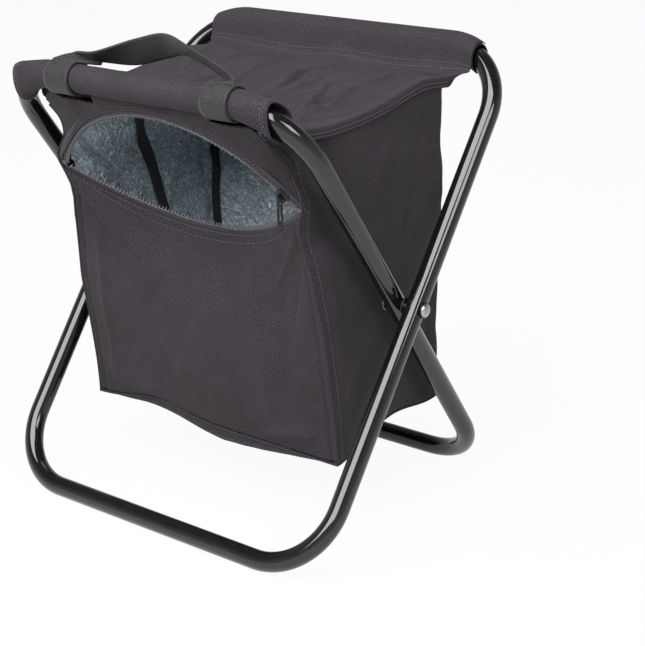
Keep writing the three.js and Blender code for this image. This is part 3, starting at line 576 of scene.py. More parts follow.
def by_bar(x, middle, frame_shape, degrees, radius):
    """Places on cloth round a bar, at an angle seen from the +X side and a distance from its centre
    line. Past the bends the cloth goes on nearly straight while the tube turns down."""
    half_width, bridge, lean = frame_shape
    bend = np.sqrt(1 - (bend_past(x, half_width) / CORNER_RADIUS) ** 2)
    angle = np.radians(degrees)
    outward = math.pi / 2 - lean * HALF_ANGLE
    facing = np.maximum(0, (1 + np.cos(angle - outward)) / 2) ** BRIDGE_POWER
    reach = radius * mix(1, 1 / bend, TAUTNESS)
    lift = bridge * CORNER_RADIUS * (1 - bend) * facing
    y, z = middle
    y = y + reach * np.cos(angle) + lift * math.cos(outward)
    z = z + reach * np.sin(angle) + lift * math.sin(outward)
    return np.stack([x + 0 * angle, y, z], -1)


def through(points, shares):
    """Smooth curves through rows of points, with no loops: rows x stops x 3, sampled at shares."""
    first = 2 * points[:, :1] - points[:, 1:2]
    last = 2 * points[:, -1:] - points[:, -2:-1]
    whole = np.concatenate([first, points, last], axis=1)
    gaps = np.sqrt(np.linalg.norm(np.diff(whole, axis=1), axis=2))
    spans = points.shape[1] - 1
    cell = np.minimum((shares * spans).astype(int), spans - 1)
    way = (shares * spans - cell)[None, :, None]
    p0, p1, p2, p3 = (whole[:, cell + i] for i in range(4))
    d0, d1, d2 = (gaps[:, cell + i][..., None] for i in range(3))
    leave = ((p1 - p0) / d0 - (p2 - p0) / (d0 + d1) + (p2 - p1) / d1) * d1
    meet = ((p2 - p1) / d1 - (p3 - p1) / (d1 + d2) + (p3 - p2) / d2) * d1
    square = -3 * p1 + 3 * p2 - 2 * leave - meet
    cube = 2 * p1 - 2 * p2 + leave + meet
    return p1 + leave * way + square * way**2 + cube * way**3


def grid_normals(grid):
    """Which way a sheet faces at each of its places."""
    return unit(np.cross(np.gradient(grid, axis=0), np.gradient(grid, axis=1)))


def arc_lengths(grid, axis):
    """Distances along a sheet from its first row or column, over its own shape."""
    steps = np.linalg.norm(np.diff(grid, axis=axis), axis=2)
    start = np.zeros_like(np.take(steps, [0], axis))
    return np.concatenate([start, np.cumsum(steps, axis=axis)], axis=axis)


def grid_at(grid, i, j):
    """Places between a grid's own, at broken row and column numbers."""
    i, j = np.broadcast_arrays(np.asarray(i, float), np.asarray(j, float))
    row = np.clip(i.astype(int), 0, grid.shape[0] - 2)
    column = np.clip(j.astype(int), 0, grid.shape[1] - 2)
    s = (i - row)[..., None]
    t = (j - column)[..., None]
    near = mix(grid[row, column], grid[row + 1, column], s)
    far = mix(grid[row, column + 1], grid[row + 1, column + 1], s)
    return mix(near, far, t)


def folds(a, b, table):
    """Height of soft folds over a sheet, from a table of their places and sizes."""
    height = np.zeros(np.broadcast(a, b).shape)
    for (a0, b0), (a1, b1), width, tall in table:
        run_a, run_b = a1 - a0, b1 - b0
        length = math.hypot(run_a, run_b)
        along = ((a - a0) * run_a + (b - b0) * run_b) / length**2
        aside = ((a - a0) * run_b - (b - b0) * run_a) / length
        past_end = np.maximum(0, np.abs(along - 1 / 2) - 1 / 4) * 4
        height += tall * np.exp(-np.abs(aside / width) ** CREASE_POWER - past_end**2)
    return height


def ripple(a, b, length, seed):
    """Uneven softness over a sheet, from about -1 to 1, with waves of about the given length."""
    draw = np.random.default_rng(seed)
    total = np.zeros(np.broadcast(a, b).shape)
    for _ in range(RIPPLE_WAVES):
        heading, start, turn = draw.uniform(0, 2 * math.pi, 3)
        wave = 2 * math.pi / (length * draw.uniform(0.7, 1.5))
        ahead = a * math.cos(heading) + b * math.sin(heading)
        aside = b * math.cos(heading) - a * math.sin(heading)
        total += np.sin(wave * ahead + start + np.sin(wave * aside / 2 + turn))
    return total / math.sqrt(RIPPLE_WAVES)


def softness(a, b, ripples, seed):
    """Ripples of several wave lengths and heights, one on another."""
    return sum(ripple(a, b, length, seed + n) * tall for n, (length, tall) in enumerate(ripples))


def creased(grid, a, b, table, seed, hold=1.0, side=1):
    """The grid pushed out on one side by folds and softness; hold keeps some of it still."""
    height = folds(a, b, table) + softness(a, b, SOFT_RIPPLES, seed)
    return grid + grid_normals(grid) * (height * hold * look().crease_depth * side)[..., None]


def new_object(name, mesh):
    thing = bpy.data.objects.new(name, mesh)
    bpy.context.collection.objects.link(thing)
    return thing


def add_mesh(name, points, faces, surface, uv=None, smooth=True):
    """A piece from points in millimetres, with its flat lay as the cloth map where it has one."""
    mesh = bpy.data.meshes.new(name)
    mesh.from_pydata((np.asarray(points) * MM).tolist(), [], faces)
    mesh.materials.append(surface)
    if uv is not None:
        layer = mesh.uv_layers.new(name="cloth")
        corners = np.empty(len(mesh.loops), int)
        mesh.loops.foreach_get("vertex_index", corners)
        layer.data.foreach_set("uv", (np.asarray(uv)[corners] * MM).ravel())
    mesh.polygons.foreach_set("use_smooth", [smooth] * len(mesh.polygons))
    mesh.update()
    return new_object(name, mesh)


def ring_faces(rows, sides, first=0, flip=False):
    """Quads of a tube's wall, between rows of sides points each."""
    faces = []
    for i in range(rows - 1):
        for j in range(sides):
            a = first + i * sides + j
            b = first + i * sides + (j + 1) % sides
            quad = (a, a + sides, b + sides, b)
            faces.append(quad[::-1] if flip else quad)
    return faces


def sheet_faces(rows, columns, holes):
    """Faces of a closed sheet: its upper side, its lower side, and the edges round it and its holes."""
    under = rows * columns
    faces, edges = [], {}
    for i in range(rows - 1):
        for j in range(columns - 1):
            if holes is not None and holes[i, j]:
                continue
            a = i * columns + j
            quad = (a, a + columns, a + columns + 1, a + 1)
            faces += [quad, tuple(under + p for p in quad[::-1])]
            for p, q in zip(quad, quad[1:] + quad[:1]):
                if edges.pop((q, p), None) is None:
                    edges[(p, q)] = True
    return faces + [(q, p, under + p, under + q) for p, q in edges]


def cloth(name, grid, thickness, surface, holes=None):
    """A closed sheet with thickness, laid on a grid of places; holes marks cells that are cut away."""
    rows, columns = grid.shape[:2]
    outward = grid_normals(grid) * (thickness / 2)
    points = np.concatenate([(grid + outward).reshape(-1, 3), (grid - outward).reshape(-1, 3)])
    across = arc_lengths(grid, 0)
    flat = np.stack([across - across[rows // 2], arc_lengths(grid, 1)], -1).reshape(-1, 2)
    faces = sheet_faces(rows, columns, holes)
    used = np.unique([p for face in faces for p in face])
    place = np.zeros(len(points), int)
    place[used] = np.arange(len(used))
    faces = [tuple(place[list(face)].tolist()) for face in faces]
    return add_mesh(name, points[used], faces, surface, np.concatenate([flat, flat])[used])


def swept(name, stations, radius, sides, surface, inner=None):
    """A round tube or cord along places in space; inner makes it hollow, with open ends."""
    ahead = unit(np.gradient(stations, axis=0))
    side = np.zeros_like(ahead)
    guide = Vector((0.3, 0.2, 1.0))
    for i, way in enumerate(ahead):
        guide = (guide - Vector(way) * guide.dot(Vector(way))).normalized()
        side[i] = guide
    up = np.cross(ahead, side)
    turn = evenly(0, 2 * math.pi, sides)[:-1]
    ring = side[:, None] * np.cos(turn)[:, None] + up[:, None] * np.sin(turn)[:, None]
    count = len(stations)
    last = (count - 1) * sides
    points = (stations[:, None] + ring * radius).reshape(-1, 3)
    faces = ring_faces(count, sides)
    if inner is None:
        faces += [tuple(range(sides)), tuple(reversed(range(last, last + sides)))]
        return add_mesh(name, points, faces, surface)
    first = len(points)
    points = np.concatenate([points, (stations[:, None] + ring * inner).reshape(-1, 3)])
    faces += ring_faces(count, sides, first, flip=True)
    for j in range(sides):
        k = (j + 1) % sides
        faces.append((j, k, first + k, first + j))
        faces.append((last + k, last + j, first + last + j, first + last + k))
    return add_mesh(name, points, faces, surface)


def lathed(name, outline, surface, turned, place):
    """A round piece from (radius, place along X) pairs, closed where the radius is zero."""
    turn = evenly(0, 2 * math.pi, ROUND_SIDES)[:-1]
    closed = outline + outline[:1] if outline[0][0] > 0 else outline
    rings = [np.stack([x + 0 * turn, r * np.cos(turn), r * np.sin(turn)], -1) for r, x in closed]
    points = np.concatenate(rings)
    points[:, 0] *= turned
    thing = add_mesh(name, points + np.array(place), ring_faces(len(closed), ROUND_SIDES), surface)
    weld(thing)
    return thing


def weld(thing):
    """Merges doubled points, drops faces with no area and turns every face outwards."""
    shape = bmesh.new()
    shape.from_mesh(thing.data)
    bmesh.ops.remove_doubles(shape, verts=shape.verts, dist=MM / 1000)
    bmesh.ops.recalc_face_normals(shape, faces=shape.faces)
    shape.to_mesh(thing.data)
    shape.free()


def sharpened(thing, degrees=SHARP_DEGREES):
    """Keeps a hard edge wherever two faces meet at more than some degrees."""
    thing.data.set_sharp_from_angle(angle=math.radians(degrees))
    return thing


def capsule(length, radius, sides):
    """A small rounded rod along X: its points and faces."""
    turn = evenly(0, 2 * math.pi, sides)[:-1]
    rings = [
        np.stack([x * length / 2 + 0 * turn, r * radius * np.cos(turn), r * radius * np.sin(turn)], -1)
        for x, r in ROD_OUTLINE
    ]
    faces = ring_faces(len(ROD_OUTLINE), sides)
    last = (len(ROD_OUTLINE) - 1) * sides
    faces += [tuple(range(sides)), tuple(reversed(range(last, last + sides)))]
    return np.concatenate(rings), faces


def scattered(name, template, places, frames, surface):
    """One mesh of many copies of a small shape; each frame's rows are a copy's own three axes."""
    points, faces = template
    every = (points[None] @ frames + places[:, None]).reshape(-1, 3)
    count = len(points)
    copies = [tuple(n * count + p for p in face) for n in range(len(places)) for face in faces]
    return add_mesh(name, every, copies, surface)


def sampled(places, run, values):
    """Rows of values read off at places along a run."""
    return np.stack([np.interp(places, run, column) for column in values.T], -1)


def spaced(path, normals, pitch):
    """Places at a pitch along a path, with the way ahead and the surface's normal at each."""
    run = np.concatenate([[0], np.cumsum(np.linalg.norm(np.diff(path, axis=0), axis=1))])
    count = max(2, int(run[-1] / pitch))
    places = (np.arange(count) + 1 / 2) * run[-1] / count
    ahead = unit(sampled(places, run, np.gradient(path, axis=0)))
    up = sampled(places, run, normals)
    up = unit(up - ahead * np.sum(up * ahead, -1, keepdims=True))
    return sampled(places, run, path), ahead, up


def spread(numbers, share):
    """A row or column number, or the few that a line of stitches goes through, all along that line."""
    stops = np.atleast_1d(numbers)
    return np.interp(share, np.linspace(0, 1, len(stops)), stops)


def stitched(name, rows, surface):
    """Sewing thread along rows on sheets: each row is a grid, row and column numbers, and a side."""
    pitch = look().stitch_pitch / MM
    share = evenly(0, 1, PATH_STEPS)
    places, frames = [], []
    for grid, i, j, side in rows:
        i, j = spread(i, share), spread(j, share)
        outward = grid_at(grid_normals(grid), i, j) * side
        middle, ahead, up = spaced(grid_at(grid, i, j), outward, pitch)
        places.append(middle + up * (CLOTH / 2 + THREAD_RADIUS / 3))
        frames.append(np.stack([ahead, np.cross(up, ahead), up], axis=1))
    rod = capsule(pitch * STITCH_SHARE, THREAD_RADIUS, STITCH_SIDES)
    return scattered(name, rod, np.concatenate(places), np.concatenate(frames), surface)


# Materials

# Sockets of a Mix node that mixes colours
FACTOR, LOW, HIGH = 0, 6, 7
MIXED = 2

# Sizes of what the patterns draw, in millimetres
DRAWN_THREAD = 1.0
CLOTH_CLOUD = 45.45
CLOTH_DENT = 14.286
WEBBING_RIB = 1.6
BINDING_RIB = 1.2
ZIP_TAPE_RIB = 1.0
FOIL_FACET = 3.7037
FOIL_STRAY = 6.25
FOIL_STRAY_REACH = 6.0
RUBBED_PATCH = 22.222
ORANGE_PEEL = 2.381
PAPER_CLOUD = 333.33

SLUBS_A_THREAD = 0.6  # cells of the threads' unevenness in one thread's width
FINISHES = {}


def linear(value):
    """One sRGB part as linear light."""
    return value / 12.92 if value <= 0.04045 else ((value + 0.055) / 1.055) ** 2.4


def paint(shade, level=1.0):
    """An sRGB hex value, or a setting's sRGB parts, as the linear colour that a shader takes."""
    parts = hex_parts(shade) if isinstance(shade, str) else shade
    return (*[linear(part) * level for part in parts], 1.0)


def add_node(tree, kind, sockets=None, out=None, **settings):
    """Adds a shader node and gives it back, or only the output asked for. A socket takes a value, or
    another node's output to follow."""
    node = tree.nodes.new("ShaderNode" + kind)
    for name, value in settings.items():
        setattr(node, name, value)
    for key, value in (sockets or {}).items():
        if isinstance(value, bpy.types.NodeSocket):
            tree.links.new(value, node.inputs[key])
        else:
            node.inputs[key].default_value = value
    return node if out is None else node.outputs[out]


def finish_of(name, shade, roughness, metallic=0.0, **sockets):
    """A new material with its uniform values on the shader's own sockets."""
    made = bpy.data.materials.new(name)
    made.use_nodes = True
    shader = made.node_tree.nodes["Principled BSDF"]
    shader.inputs["Base Color"].default_value = paint(shade)
    shader.inputs["Roughness"].default_value = roughness
    shader.inputs["Metallic"].default_value = metallic
    for key, value in sockets.items():
        shader.inputs[key.replace("_", " ").title()].default_value = value
    return made, made.node_tree


def patterned(made, **outputs):
    """Links patterns to a material's shader, and gives the material back."""
    tree = made.node_tree
    for key, output in outputs.items():
        socket = tree.nodes["Principled BSDF"].inputs[key.replace("_", " ").title()]
        tree.links.new(output, socket)
    return made


def per_metre(size):
    """How many of a pattern's cells go into a metre, from one cell's size in millimetres."""
    return 1 / (size * MM)


def flat_place(tree, across, along):
    """Places on the flat cloth, counted in threads or ribs of a given size."""
    laid = add_node(tree, "UVMap", out="UV", uv_map="cloth")
    counts = (per_metre(across), per_metre(along), 1)
    return add_node(tree, "VectorMath", {0: laid, 1: counts}, "Vector", operation="MULTIPLY")


def thread_height(tree, threads):
    """Plain weave: warp and weft go over each other by turns."""
    split = add_node(tree, "SeparateXYZ", {"Vector": threads})
    warp = add_node(tree, "Math", {0: split.outputs["X"], 1: 0.5}, 0, operation="PINGPONG")
    weft = add_node(tree, "Math", {0: split.outputs["Y"], 1: 0.5}, 0, operation="PINGPONG")
    turns = add_node(tree, "TexChecker", {"Vector": threads, "Scale": 1.0}, "Fac")
    return add_node(tree, "Mix", {"Factor": turns, "A": warp, "B": weft}, "Result")


def polyester_cloth():
    """Woven 600 denier polyester: dull and dark, with a faint bloom and uneven threads."""
    shade = look().cloth_colour
    made, tree = finish_of("woven_polyester", shade, 0.85, sheen_weight=0.02, sheen_roughness=0.4)
    # Threads lie 0.5 mm apart in the cloth. They are drawn 1 mm apart, which is as fine as shows.
    threads = flat_place(tree, DRAWN_THREAD, DRAWN_THREAD)
    laid = add_node(tree, "UVMap", out="UV", uv_map="cloth")
    slub = add_node(tree, "TexNoise", {"Vector": threads, "Scale": SLUBS_A_THREAD, "Detail": 4.0}, "Fac")
    slub = add_node(tree, "MapRange", {"Value": slub, "From Min": 0.36, "From Max": 0.64}, "Result")
    cloud = {"Vector": laid, "Scale": per_metre(CLOTH_CLOUD), "Detail": 3.0}
    cloud = add_node(tree, "TexNoise", cloud, "Fac")
    cloud = add_node(tree, "MapRange", {"Value": cloud, "From Min": 0.3, "From Max": 0.7}, "Result")
    slubs_and_rib_shade = {FACTOR: slub, LOW: paint(shade, 0.42), HIGH: paint(shade, 1.65)}
    slubs_and_rib_shade = add_node(tree, "Mix", slubs_and_rib_shade, MIXED, data_type="RGBA")
    faded = {FACTOR: cloud, LOW: paint("#d9d5d9"), HIGH: paint("#ffffff")}
    faded = add_node(tree, "Mix", faded, MIXED, data_type="RGBA")
    both = {FACTOR: 1.0, LOW: slubs_and_rib_shade, HIGH: faded}
    tone = add_node(tree, "Mix", both, MIXED, data_type="RGBA", blend_type="MULTIPLY")
    dents = {"Vector": laid, "Scale": per_metre(CLOTH_DENT), "Detail": 4.0}
    dents = {"Height": add_node(tree, "TexNoise", dents, "Fac"), "Distance": 1.2 * MM, "Strength": 0.35}
    weave = {"Height": thread_height(tree, threads), "Distance": 0.4 * MM, "Strength": 0.5}
    weave["Normal"] = add_node(tree, "Bump", dents, "Normal")
    return patterned(made, base_color=tone, normal=add_node(tree, "Bump", weave, "Normal"))


def ribbed_webbing(name, shade, rib, slant=0.6):
    """Woven tape: ribs across its width that zigzag a little, with a slight shine. The ribs are painted
    lighter on their tops and darker in the grooves between them, as painted light and painted shade.
    """
    made, tree = finish_of(name, shade, 0.6, sheen_weight=0.1)
    ribs = flat_place(tree, rib, rib * 3)
    split = add_node(tree, "SeparateXYZ", {"Vector": ribs})
    zigzag = add_node(tree, "Math", {0: split.outputs["Y"], 1: 1.0}, 0, operation="PINGPONG")
    bent = {0: zigzag, 1: slant, 2: split.outputs["X"]}
    bent = add_node(tree, "Math", bent, 0, operation="MULTIPLY_ADD")
    height = add_node(tree, "Math", {0: bent, 1: 0.5}, 0, operation="PINGPONG")
    fuzz = add_node(tree, "TexNoise", {"Vector": ribs, "Scale": 1.1, "Detail": 3.0}, "Fac")
    fuzz = add_node(tree, "MapRange", {"Value": fuzz, "From Min": 0.25, "From Max": 0.75}, "Result")
    # Colour follows the ribs' height: painted light on their tops and painted shade in the grooves, with a
    # random fuzz of real tone.
    tone = add_node(tree, "Math", {0: height, 1: fuzz}, 0, operation="ADD")
    tone = add_node(tree, "MapRange", {"Value": tone, "From Min": 0.1, "From Max": 1.3}, "Result")
    slubs_and_rib_shade = {FACTOR: tone, LOW: paint(shade, 0.55), HIGH: paint(shade, 1.6)}
    slubs_and_rib_shade = add_node(tree, "Mix", slubs_and_rib_shade, MIXED, data_type="RGBA")
    raised = {"Height": height, "Distance": rib / 2 * MM, "Strength": 0.6}
    return patterned(made, base_color=slubs_and_rib_shade, normal=add_node(tree, "Bump", raised, "Normal"))


def foil_laminate():
    """Aluminised film on foam, crushed in use: each small facet painted its own brightness as painted
    reflection, with painted shade in the dark creases between.
    """
    shade = look().foil_colour
    made, tree = finish_of("aluminised_film", shade, 0.28, 0.15)
    laid = add_node(tree, "UVMap", out="UV", uv_map="cloth")
    stray = {"Vector": laid, "Scale": per_metre(FOIL_STRAY), "Detail": 2.0}
    stray = {0: add_node(tree, "TexNoise", stray, "Color"), 1: (FOIL_STRAY_REACH * MM,) * 3, 2: laid}
    bent = add_node(tree, "VectorMath", stray, "Vector", operation="MULTIPLY_ADD")
    facets = {"Vector": bent, "Scale": per_metre(FOIL_FACET)}
    facet = add_node(tree, "TexVoronoi", facets)
    crease = add_node(tree, "TexVoronoi", facets, "Distance", feature="DISTANCE_TO_EDGE")
    crease = add_node(tree, "MapRange", {"Value": crease, "From Min": 0.0, "From Max": 0.12}, "Result")
    # Each facet gets a random brightness: painted reflection, as if each facet caught the light at its own
    # angle.
    tone = add_node(tree, "SeparateXYZ", {"Vector": facet.outputs["Color"]}, "X")
    bright = {FACTOR: tone, LOW: paint(shade, 0.78), HIGH: paint(shade, 1.2)}
    bright = add_node(tree, "Mix", bright, MIXED, data_type="RGBA")
    # Darker along the facets' edges: painted shade in the creases.
    crease_shade = {FACTOR: crease, LOW: paint("#b9bfc1"), HIGH: paint("#ffffff")}
    crease_shade = add_node(tree, "Mix", crease_shade, MIXED, data_type="RGBA")
    both = {FACTOR: 1.0, LOW: bright, HIGH: crease_shade}
    both = add_node(tree, "Mix", both, MIXED, data_type="RGBA", blend_type="MULTIPLY")
    raised = {"Height": facet.outputs["Distance"], "Distance": 2.0 * MM, "Strength": 1.0}
    return patterned(made, base_color=both, normal=add_node(tree, "Bump", raised, "Normal"))


def powder_coat():
    """Gloss black powder coat: a clear hard shine over the faintest orange peel."""
    shade = look().tube_colour
    made, tree = finish_of("black_gloss_powder_coat", shade, 0.1, coat_weight=0.5, coat_roughness=0.04)
    room = add_node(tree, "TexCoord", out="Object")
    rubbed = {"Vector": room, "Scale": per_metre(RUBBED_PATCH), "Detail": 5.0}
    rubbed = add_node(tree, "TexNoise", rubbed, "Fac")
    rubbed = add_node(tree, "MapRange", {"Value": rubbed, "From Min": 0.35, "From Max": 0.75}, "Result")
    tone = {FACTOR: rubbed, LOW: paint(shade, 0.8), HIGH: paint(shade, 1.5)}
    tone = add_node(tree, "Mix", tone, MIXED, data_type="RGBA")
    shine = add_node(tree, "MapRange", {"Value": rubbed, "To Min": 0.06, "To Max": 0.11}, "Result")
    peel = {"Vector": room, "Scale": per_metre(ORANGE_PEEL), "Detail": 2.0}
    peel = {"Height": add_node(tree, "TexNoise", peel, "Fac"), "Distance": 0.1 * MM, "Strength": 0.06}
    peel = add_node(tree, "Bump", peel, "Normal")
    return patterned(made, base_color=tone, roughness=shine, normal=peel)


def speckled(name, shade, roughness, metallic, grain, depth, contrast=0.25):
    """A moulded, plated or spun finish, with a grain whose size and depth are in millimetres."""
    made, tree = finish_of(name, shade, roughness, metallic)
    room = add_node(tree, "TexCoord", out="Object")
    spots = {"Vector": room, "Scale": per_metre(grain), "Detail": 4.0}
    spots = add_node(tree, "TexNoise", spots, "Fac")
    spots = add_node(tree, "MapRange", {"Value": spots, "From Min": 0.3, "From Max": 0.7}, "Result")
    tone = {FACTOR: spots, LOW: paint(shade, 1 - contrast), HIGH: paint(shade, 1 + contrast)}
    tone = add_node(tree, "Mix", tone, MIXED, data_type="RGBA")
    raised = {"Height": spots, "Distance": depth * MM, "Strength": 0.4}
    return patterned(made, base_color=tone, normal=add_node(tree, "Bump", raised, "Normal"))


def zinc_plate():
    """Bright zinc plating on steel rivets: pale grey metal with a slightly cloudy shine."""
    return speckled("zinc_plated_steel", "#b4b6ba", 0.3, 1.0, 4.0, 0.1)


def moulded_nylon():
    """Injection moulded nylon: black, with a soft satin shine."""
    return speckled("moulded_nylon", "#141315", 0.42, 0.0, 0.8, 0.1)


def coil_nylon():
    """Nylon monofilament of the zip's coil, a little shiny: its dark grey is a painted highlight over black
    nylon, for the light that the coil's turns catch.
    """
    return speckled("nylon_coil", "#58565d", 0.28, 0.0, 0.6, 0.05)


def enamelled_zinc():
    """Zinc alloy die casting in black enamel, mottled a little."""
    return speckled("enamelled_zinc_alloy", "#2a2829", 0.25, 0.6, 1.1, 0.1, 0.5)


def sewing_thread():
    """Spun polyester thread, a shade paler than the cloth, so that its stitches show."""
    return speckled("polyester_thread", "#474148", 0.75, 0.0, 0.5, 0.1, 0.4)


def webbing_thread():
    """Black spun polyester thread, hardly paler than the webbing that it sews."""
    return speckled("black_thread", "#2b2a2c", 0.75, 0.0, 0.5, 0.1, 0.4)


def kept(make):
    """The material that a function makes, made once."""
    if make not in FINISHES:
        FINISHES[make] = make()
    return FINISHES[make]


def handle_webbing():
    """Polypropylene webbing of the handle: near black, with painted light on its ribs and painted shade
    between them.
    """
    return ribbed_webbing("polypropylene_webbing", look().webbing_colour, WEBBING_RIB)


def binding_tape():
    """Polyester grosgrain tape over the lining's edges: black, with fine straight ribs."""
    return ribbed_webbing("polyester_grosgrain", "#2c2b2e", BINDING_RIB, 0.0)


def zip_tape():
    """Woven polyester tape that holds the zip's coil: black, with the finest ribs."""
    return ribbed_webbing("polyester_zip_tape", "#171618", ZIP_TAPE_RIB, 0.0)


# Fixing the pieces


def fitted(thing, body, finish, *nodes):
    """Fixes a finished piece to its body, and gives each piece of the bag a mesh of its own."""
    if body == "seat":
        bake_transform(thing)
    else:
        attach(thing, body)
    if nodes:
        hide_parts(*nodes)
    if body == "bag":
        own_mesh(thing)
    if body == "bag_front":
        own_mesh(thing)
    return thing


def carried_along(thing, body, node):
    """A small hard piece on the bag's front, which keeps its shape and goes where the cloth goes."""
    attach(thing, body)
    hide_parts(node)
    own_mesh(thing)
    return thing


# Frames and pivots


def frame_path(half_width, top_arm):
    """The bent tube's centre line in its own plane, from one side of the butt to the other."""
    x = half_width - CORNER_RADIUS
    top = top_arm - CORNER_RADIUS
    foot = CORNER_RADIUS - FOOT_ARM
    path = [(BUTT_GAP / 2, top_arm)]
    for centre_x, centre_z, start in ((x, top, 90), (x, foot, 0), (-x, foot, -90), (-x, top, -180)):
        for angle in np.radians(evenly(start, start - 90, BEND_STEPS)):
            along, aside = CORNER_RADIUS * math.cos(angle), CORNER_RADIUS * math.sin(angle)
            path.append((centre_x + along, centre_z + aside))
    path.append((-BUTT_GAP / 2, top_arm))
    return np.array(path)


def leaned(path, lean):
    """A path in a frame's own plane, stood up at that frame's lean."""
    x, arm = path[:, 0], path[:, 1]
    return np.stack([x, lean * arm * math.sin(HALF_ANGLE), PIVOT_HEIGHT + arm * math.cos(HALF_ANGLE)], -1)


def build_frames():
    coat = kept(powder_coat)
    for side, half_width, top_arm, lean in FRAMES:
        path = leaned(frame_path(half_width, top_arm), lean)
        tube = swept(f"{side}_bent_tube", path, TUBE_RADIUS, TUBE_SIDES, coat, TUBE_RADIUS - TUBE_WALL)
        fitted(sharpened(tube), f"{side}_frame", "frame_tube", f"{side}_frame_tube")
        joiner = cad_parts[f"{side}_frame_joiner"]
        joiner.data.materials.clear()
        joiner.data.materials.append(kept(zinc_plate))


def rivet_outline():
    """A rivet from its clinched tail, dished in the middle, to its domed head."""
    tail = INNER_HALF_WIDTH - TUBE_RADIUS - 2 * PIVOT_FIT - WASHER_THICKNESS
    head = OUTER_HALF_WIDTH + TUBE_RADIUS + 2 * PIVOT_FIT + WASHER_THICKNESS
    clinched = [(TAIL_RADIUS * r, tail - TAIL_HEIGHT * h) for r, h in TAIL_DISH]
    dome = [(HEAD_RADIUS * r, head + HEAD_HEIGHT * h) for r, h in HEAD_DOME]
    return clinched + [(SHANK_RADIUS, tail), (SHANK_RADIUS, head)] + dome


def pivot_rings():
    """The rings on a rivet: a name, a radius, where each starts and ends, a material and a slot."""
    outside = OUTER_HALF_WIDTH + TUBE_RADIUS + PIVOT_FIT
    inside = INNER_HALF_WIDTH - TUBE_RADIUS - PIVOT_FIT
    between = (INNER_HALF_WIDTH + TUBE_RADIUS + PIVOT_FIT, OUTER_HALF_WIDTH - TUBE_RADIUS - PIVOT_FIT)
    head = (outside, outside + WASHER_THICKNESS)
    tail = (inside - WASHER_THICKNESS, inside)
    return (
        ("head_washer", WASHER_RADIUS, head, moulded_nylon, "black_nylon"),
        ("pivot_spacer", SPACER_RADIUS, between, moulded_nylon, "black_nylon"),
        ("tail_washer", WASHER_RADIUS, tail, zinc_plate, "plated_steel"),
    )


def build_pivots():
    place = (0, 0, PIVOT_HEIGHT)
    for side, turned in (("left", -1), ("right", 1)):
        piece = lathed(f"rivet_{side}", rivet_outline(), kept(zinc_plate), turned, place)
        fitted(sharpened(piece), "outer_frame", "plated_steel", f"pivot_rivet_{side}")
        for name, radius, ends, make, finish in pivot_rings():
            outline = rounded_ring(SHANK_RADIUS + PIVOT_FIT, radius, *ends)
            piece = lathed(f"{name}_look_{side}", outline, kept(make), turned, place)
            fitted(sharpened(piece), "outer_frame", finish, f"{name}_{side}")


def rounded_ring(inner, outer, low, high):
    """A washer's outline, with its outer edges taken off."""
    edge = (high - low) * EDGE_SHARE
    shoulders = [(outer - edge, low), (outer, low + edge), (outer, high - edge), (outer - edge, high)]
    return [(inner, low), *shoulders, (inner, high)]


# Seat and sleeves


def seat_lines(x):
    """Lines from the rear bar to the front bar that the seat's cloth follows, one for each x."""
    crown = np.maximum(0.0, 1 - (x / BAG_HALF_WIDTH) ** 2)
    lines = [by_rear_bar(x, REAR_WRAP[1], WRAP_RADIUS)]
    for way, drop in SEAT_LINE:
        wave = SEAT_RIPPLE * crown * np.sin((x / BAG_HALF_WIDTH + way * 2) * 2 * math.pi)
        z = REAR_Z - SEAT_SAG * drop - SEAT_HOLLOW * crown + wave
        lines.append(np.stack([x, mix(REAR_Y, FRONT_Y, way) + 0 * x, z], -1))
    lines.append(by_front_bar(x, FRONT_WRAP[0], WRAP_RADIUS))
    return np.stack(lines, axis=1)


def seat_columns():
    """Places across the seat, with edges of their own for the handle's two slots."""
    middles = [side * HANDLE_HALF_SPAN + LOOP_SHIFT for side in (-1, 1)]
    slots = np.array([middle + way * SLOT_HALF for middle in middles for way in (-1, 1)])
    x = evenly(-SEAT_HALF_WIDTH, SEAT_HALF_WIDTH, SEAT_COLUMNS)
    x = x[np.abs(x[:, None] - slots).min(axis=1) > SEAT_HALF_WIDTH / SEAT_COLUMNS / 2]
    return np.sort(np.concatenate([x, slots]))


def seat_grid():
    """One sheet: from behind the rear bar over its top, then across to the front bar."""
    x = seat_columns()
    flare = REAR_SLEEVE_HALF / SEAT_HALF_WIDTH
    rows = [by_rear_bar(x * flare, turn, WRAP_RADIUS) for turn in evenly(*REAR_WRAP, WRAP_ROWS)[:-1]]
    for share in evenly(0, 1, SEAT_ROWS):
        wide = mix(flare, 1, eased(*FLARE_ENDS, share))
        rows.append(through(seat_lines(x * wide), np.array([share]))[:, 0])
    rows += [by_front_bar(x, turn, WRAP_RADIUS) for turn in evenly(*FRONT_WRAP, FRONT_WRAP_ROWS)[1:]]
    grid = np.stack(rows, axis=1)
    share = np.concatenate([np.zeros(WRAP_ROWS), evenly(0, 1, SEAT_ROWS), np.ones(FRONT_WRAP_ROWS)])
    across = np.clip(np.abs(x) / SEAT_HALF_WIDTH, 0, 1)[:, None]
    hold = within(SEAT_CREASED, share) * (1 - across**SEAT_EDGE_POWER)
    grid = creased(grid, grid[..., 0], grid[..., 1], SEAT_FOLDS, 11, hold, DOWN)
    return hemmed(grid, within(SEAT_HEMMED, share))


def hemmed(grid, shown):
    """Adds the edge that turns down over the side walls, where it is shown."""
    sides = []
    for side, edge in ((-1, grid[0]), (1, grid[-1])):
        rows = []
        for outward, drop in SEAT_HEM:
            row = edge.copy()
            row[:, 0] += side * outward * np.maximum(shown, LEAST_HEM)
            row[:, 2] -= drop * shown
            rows.append(row)
        sides.append(np.stack(rows))
    return np.concatenate([sides[0][::-1], grid, sides[1]])


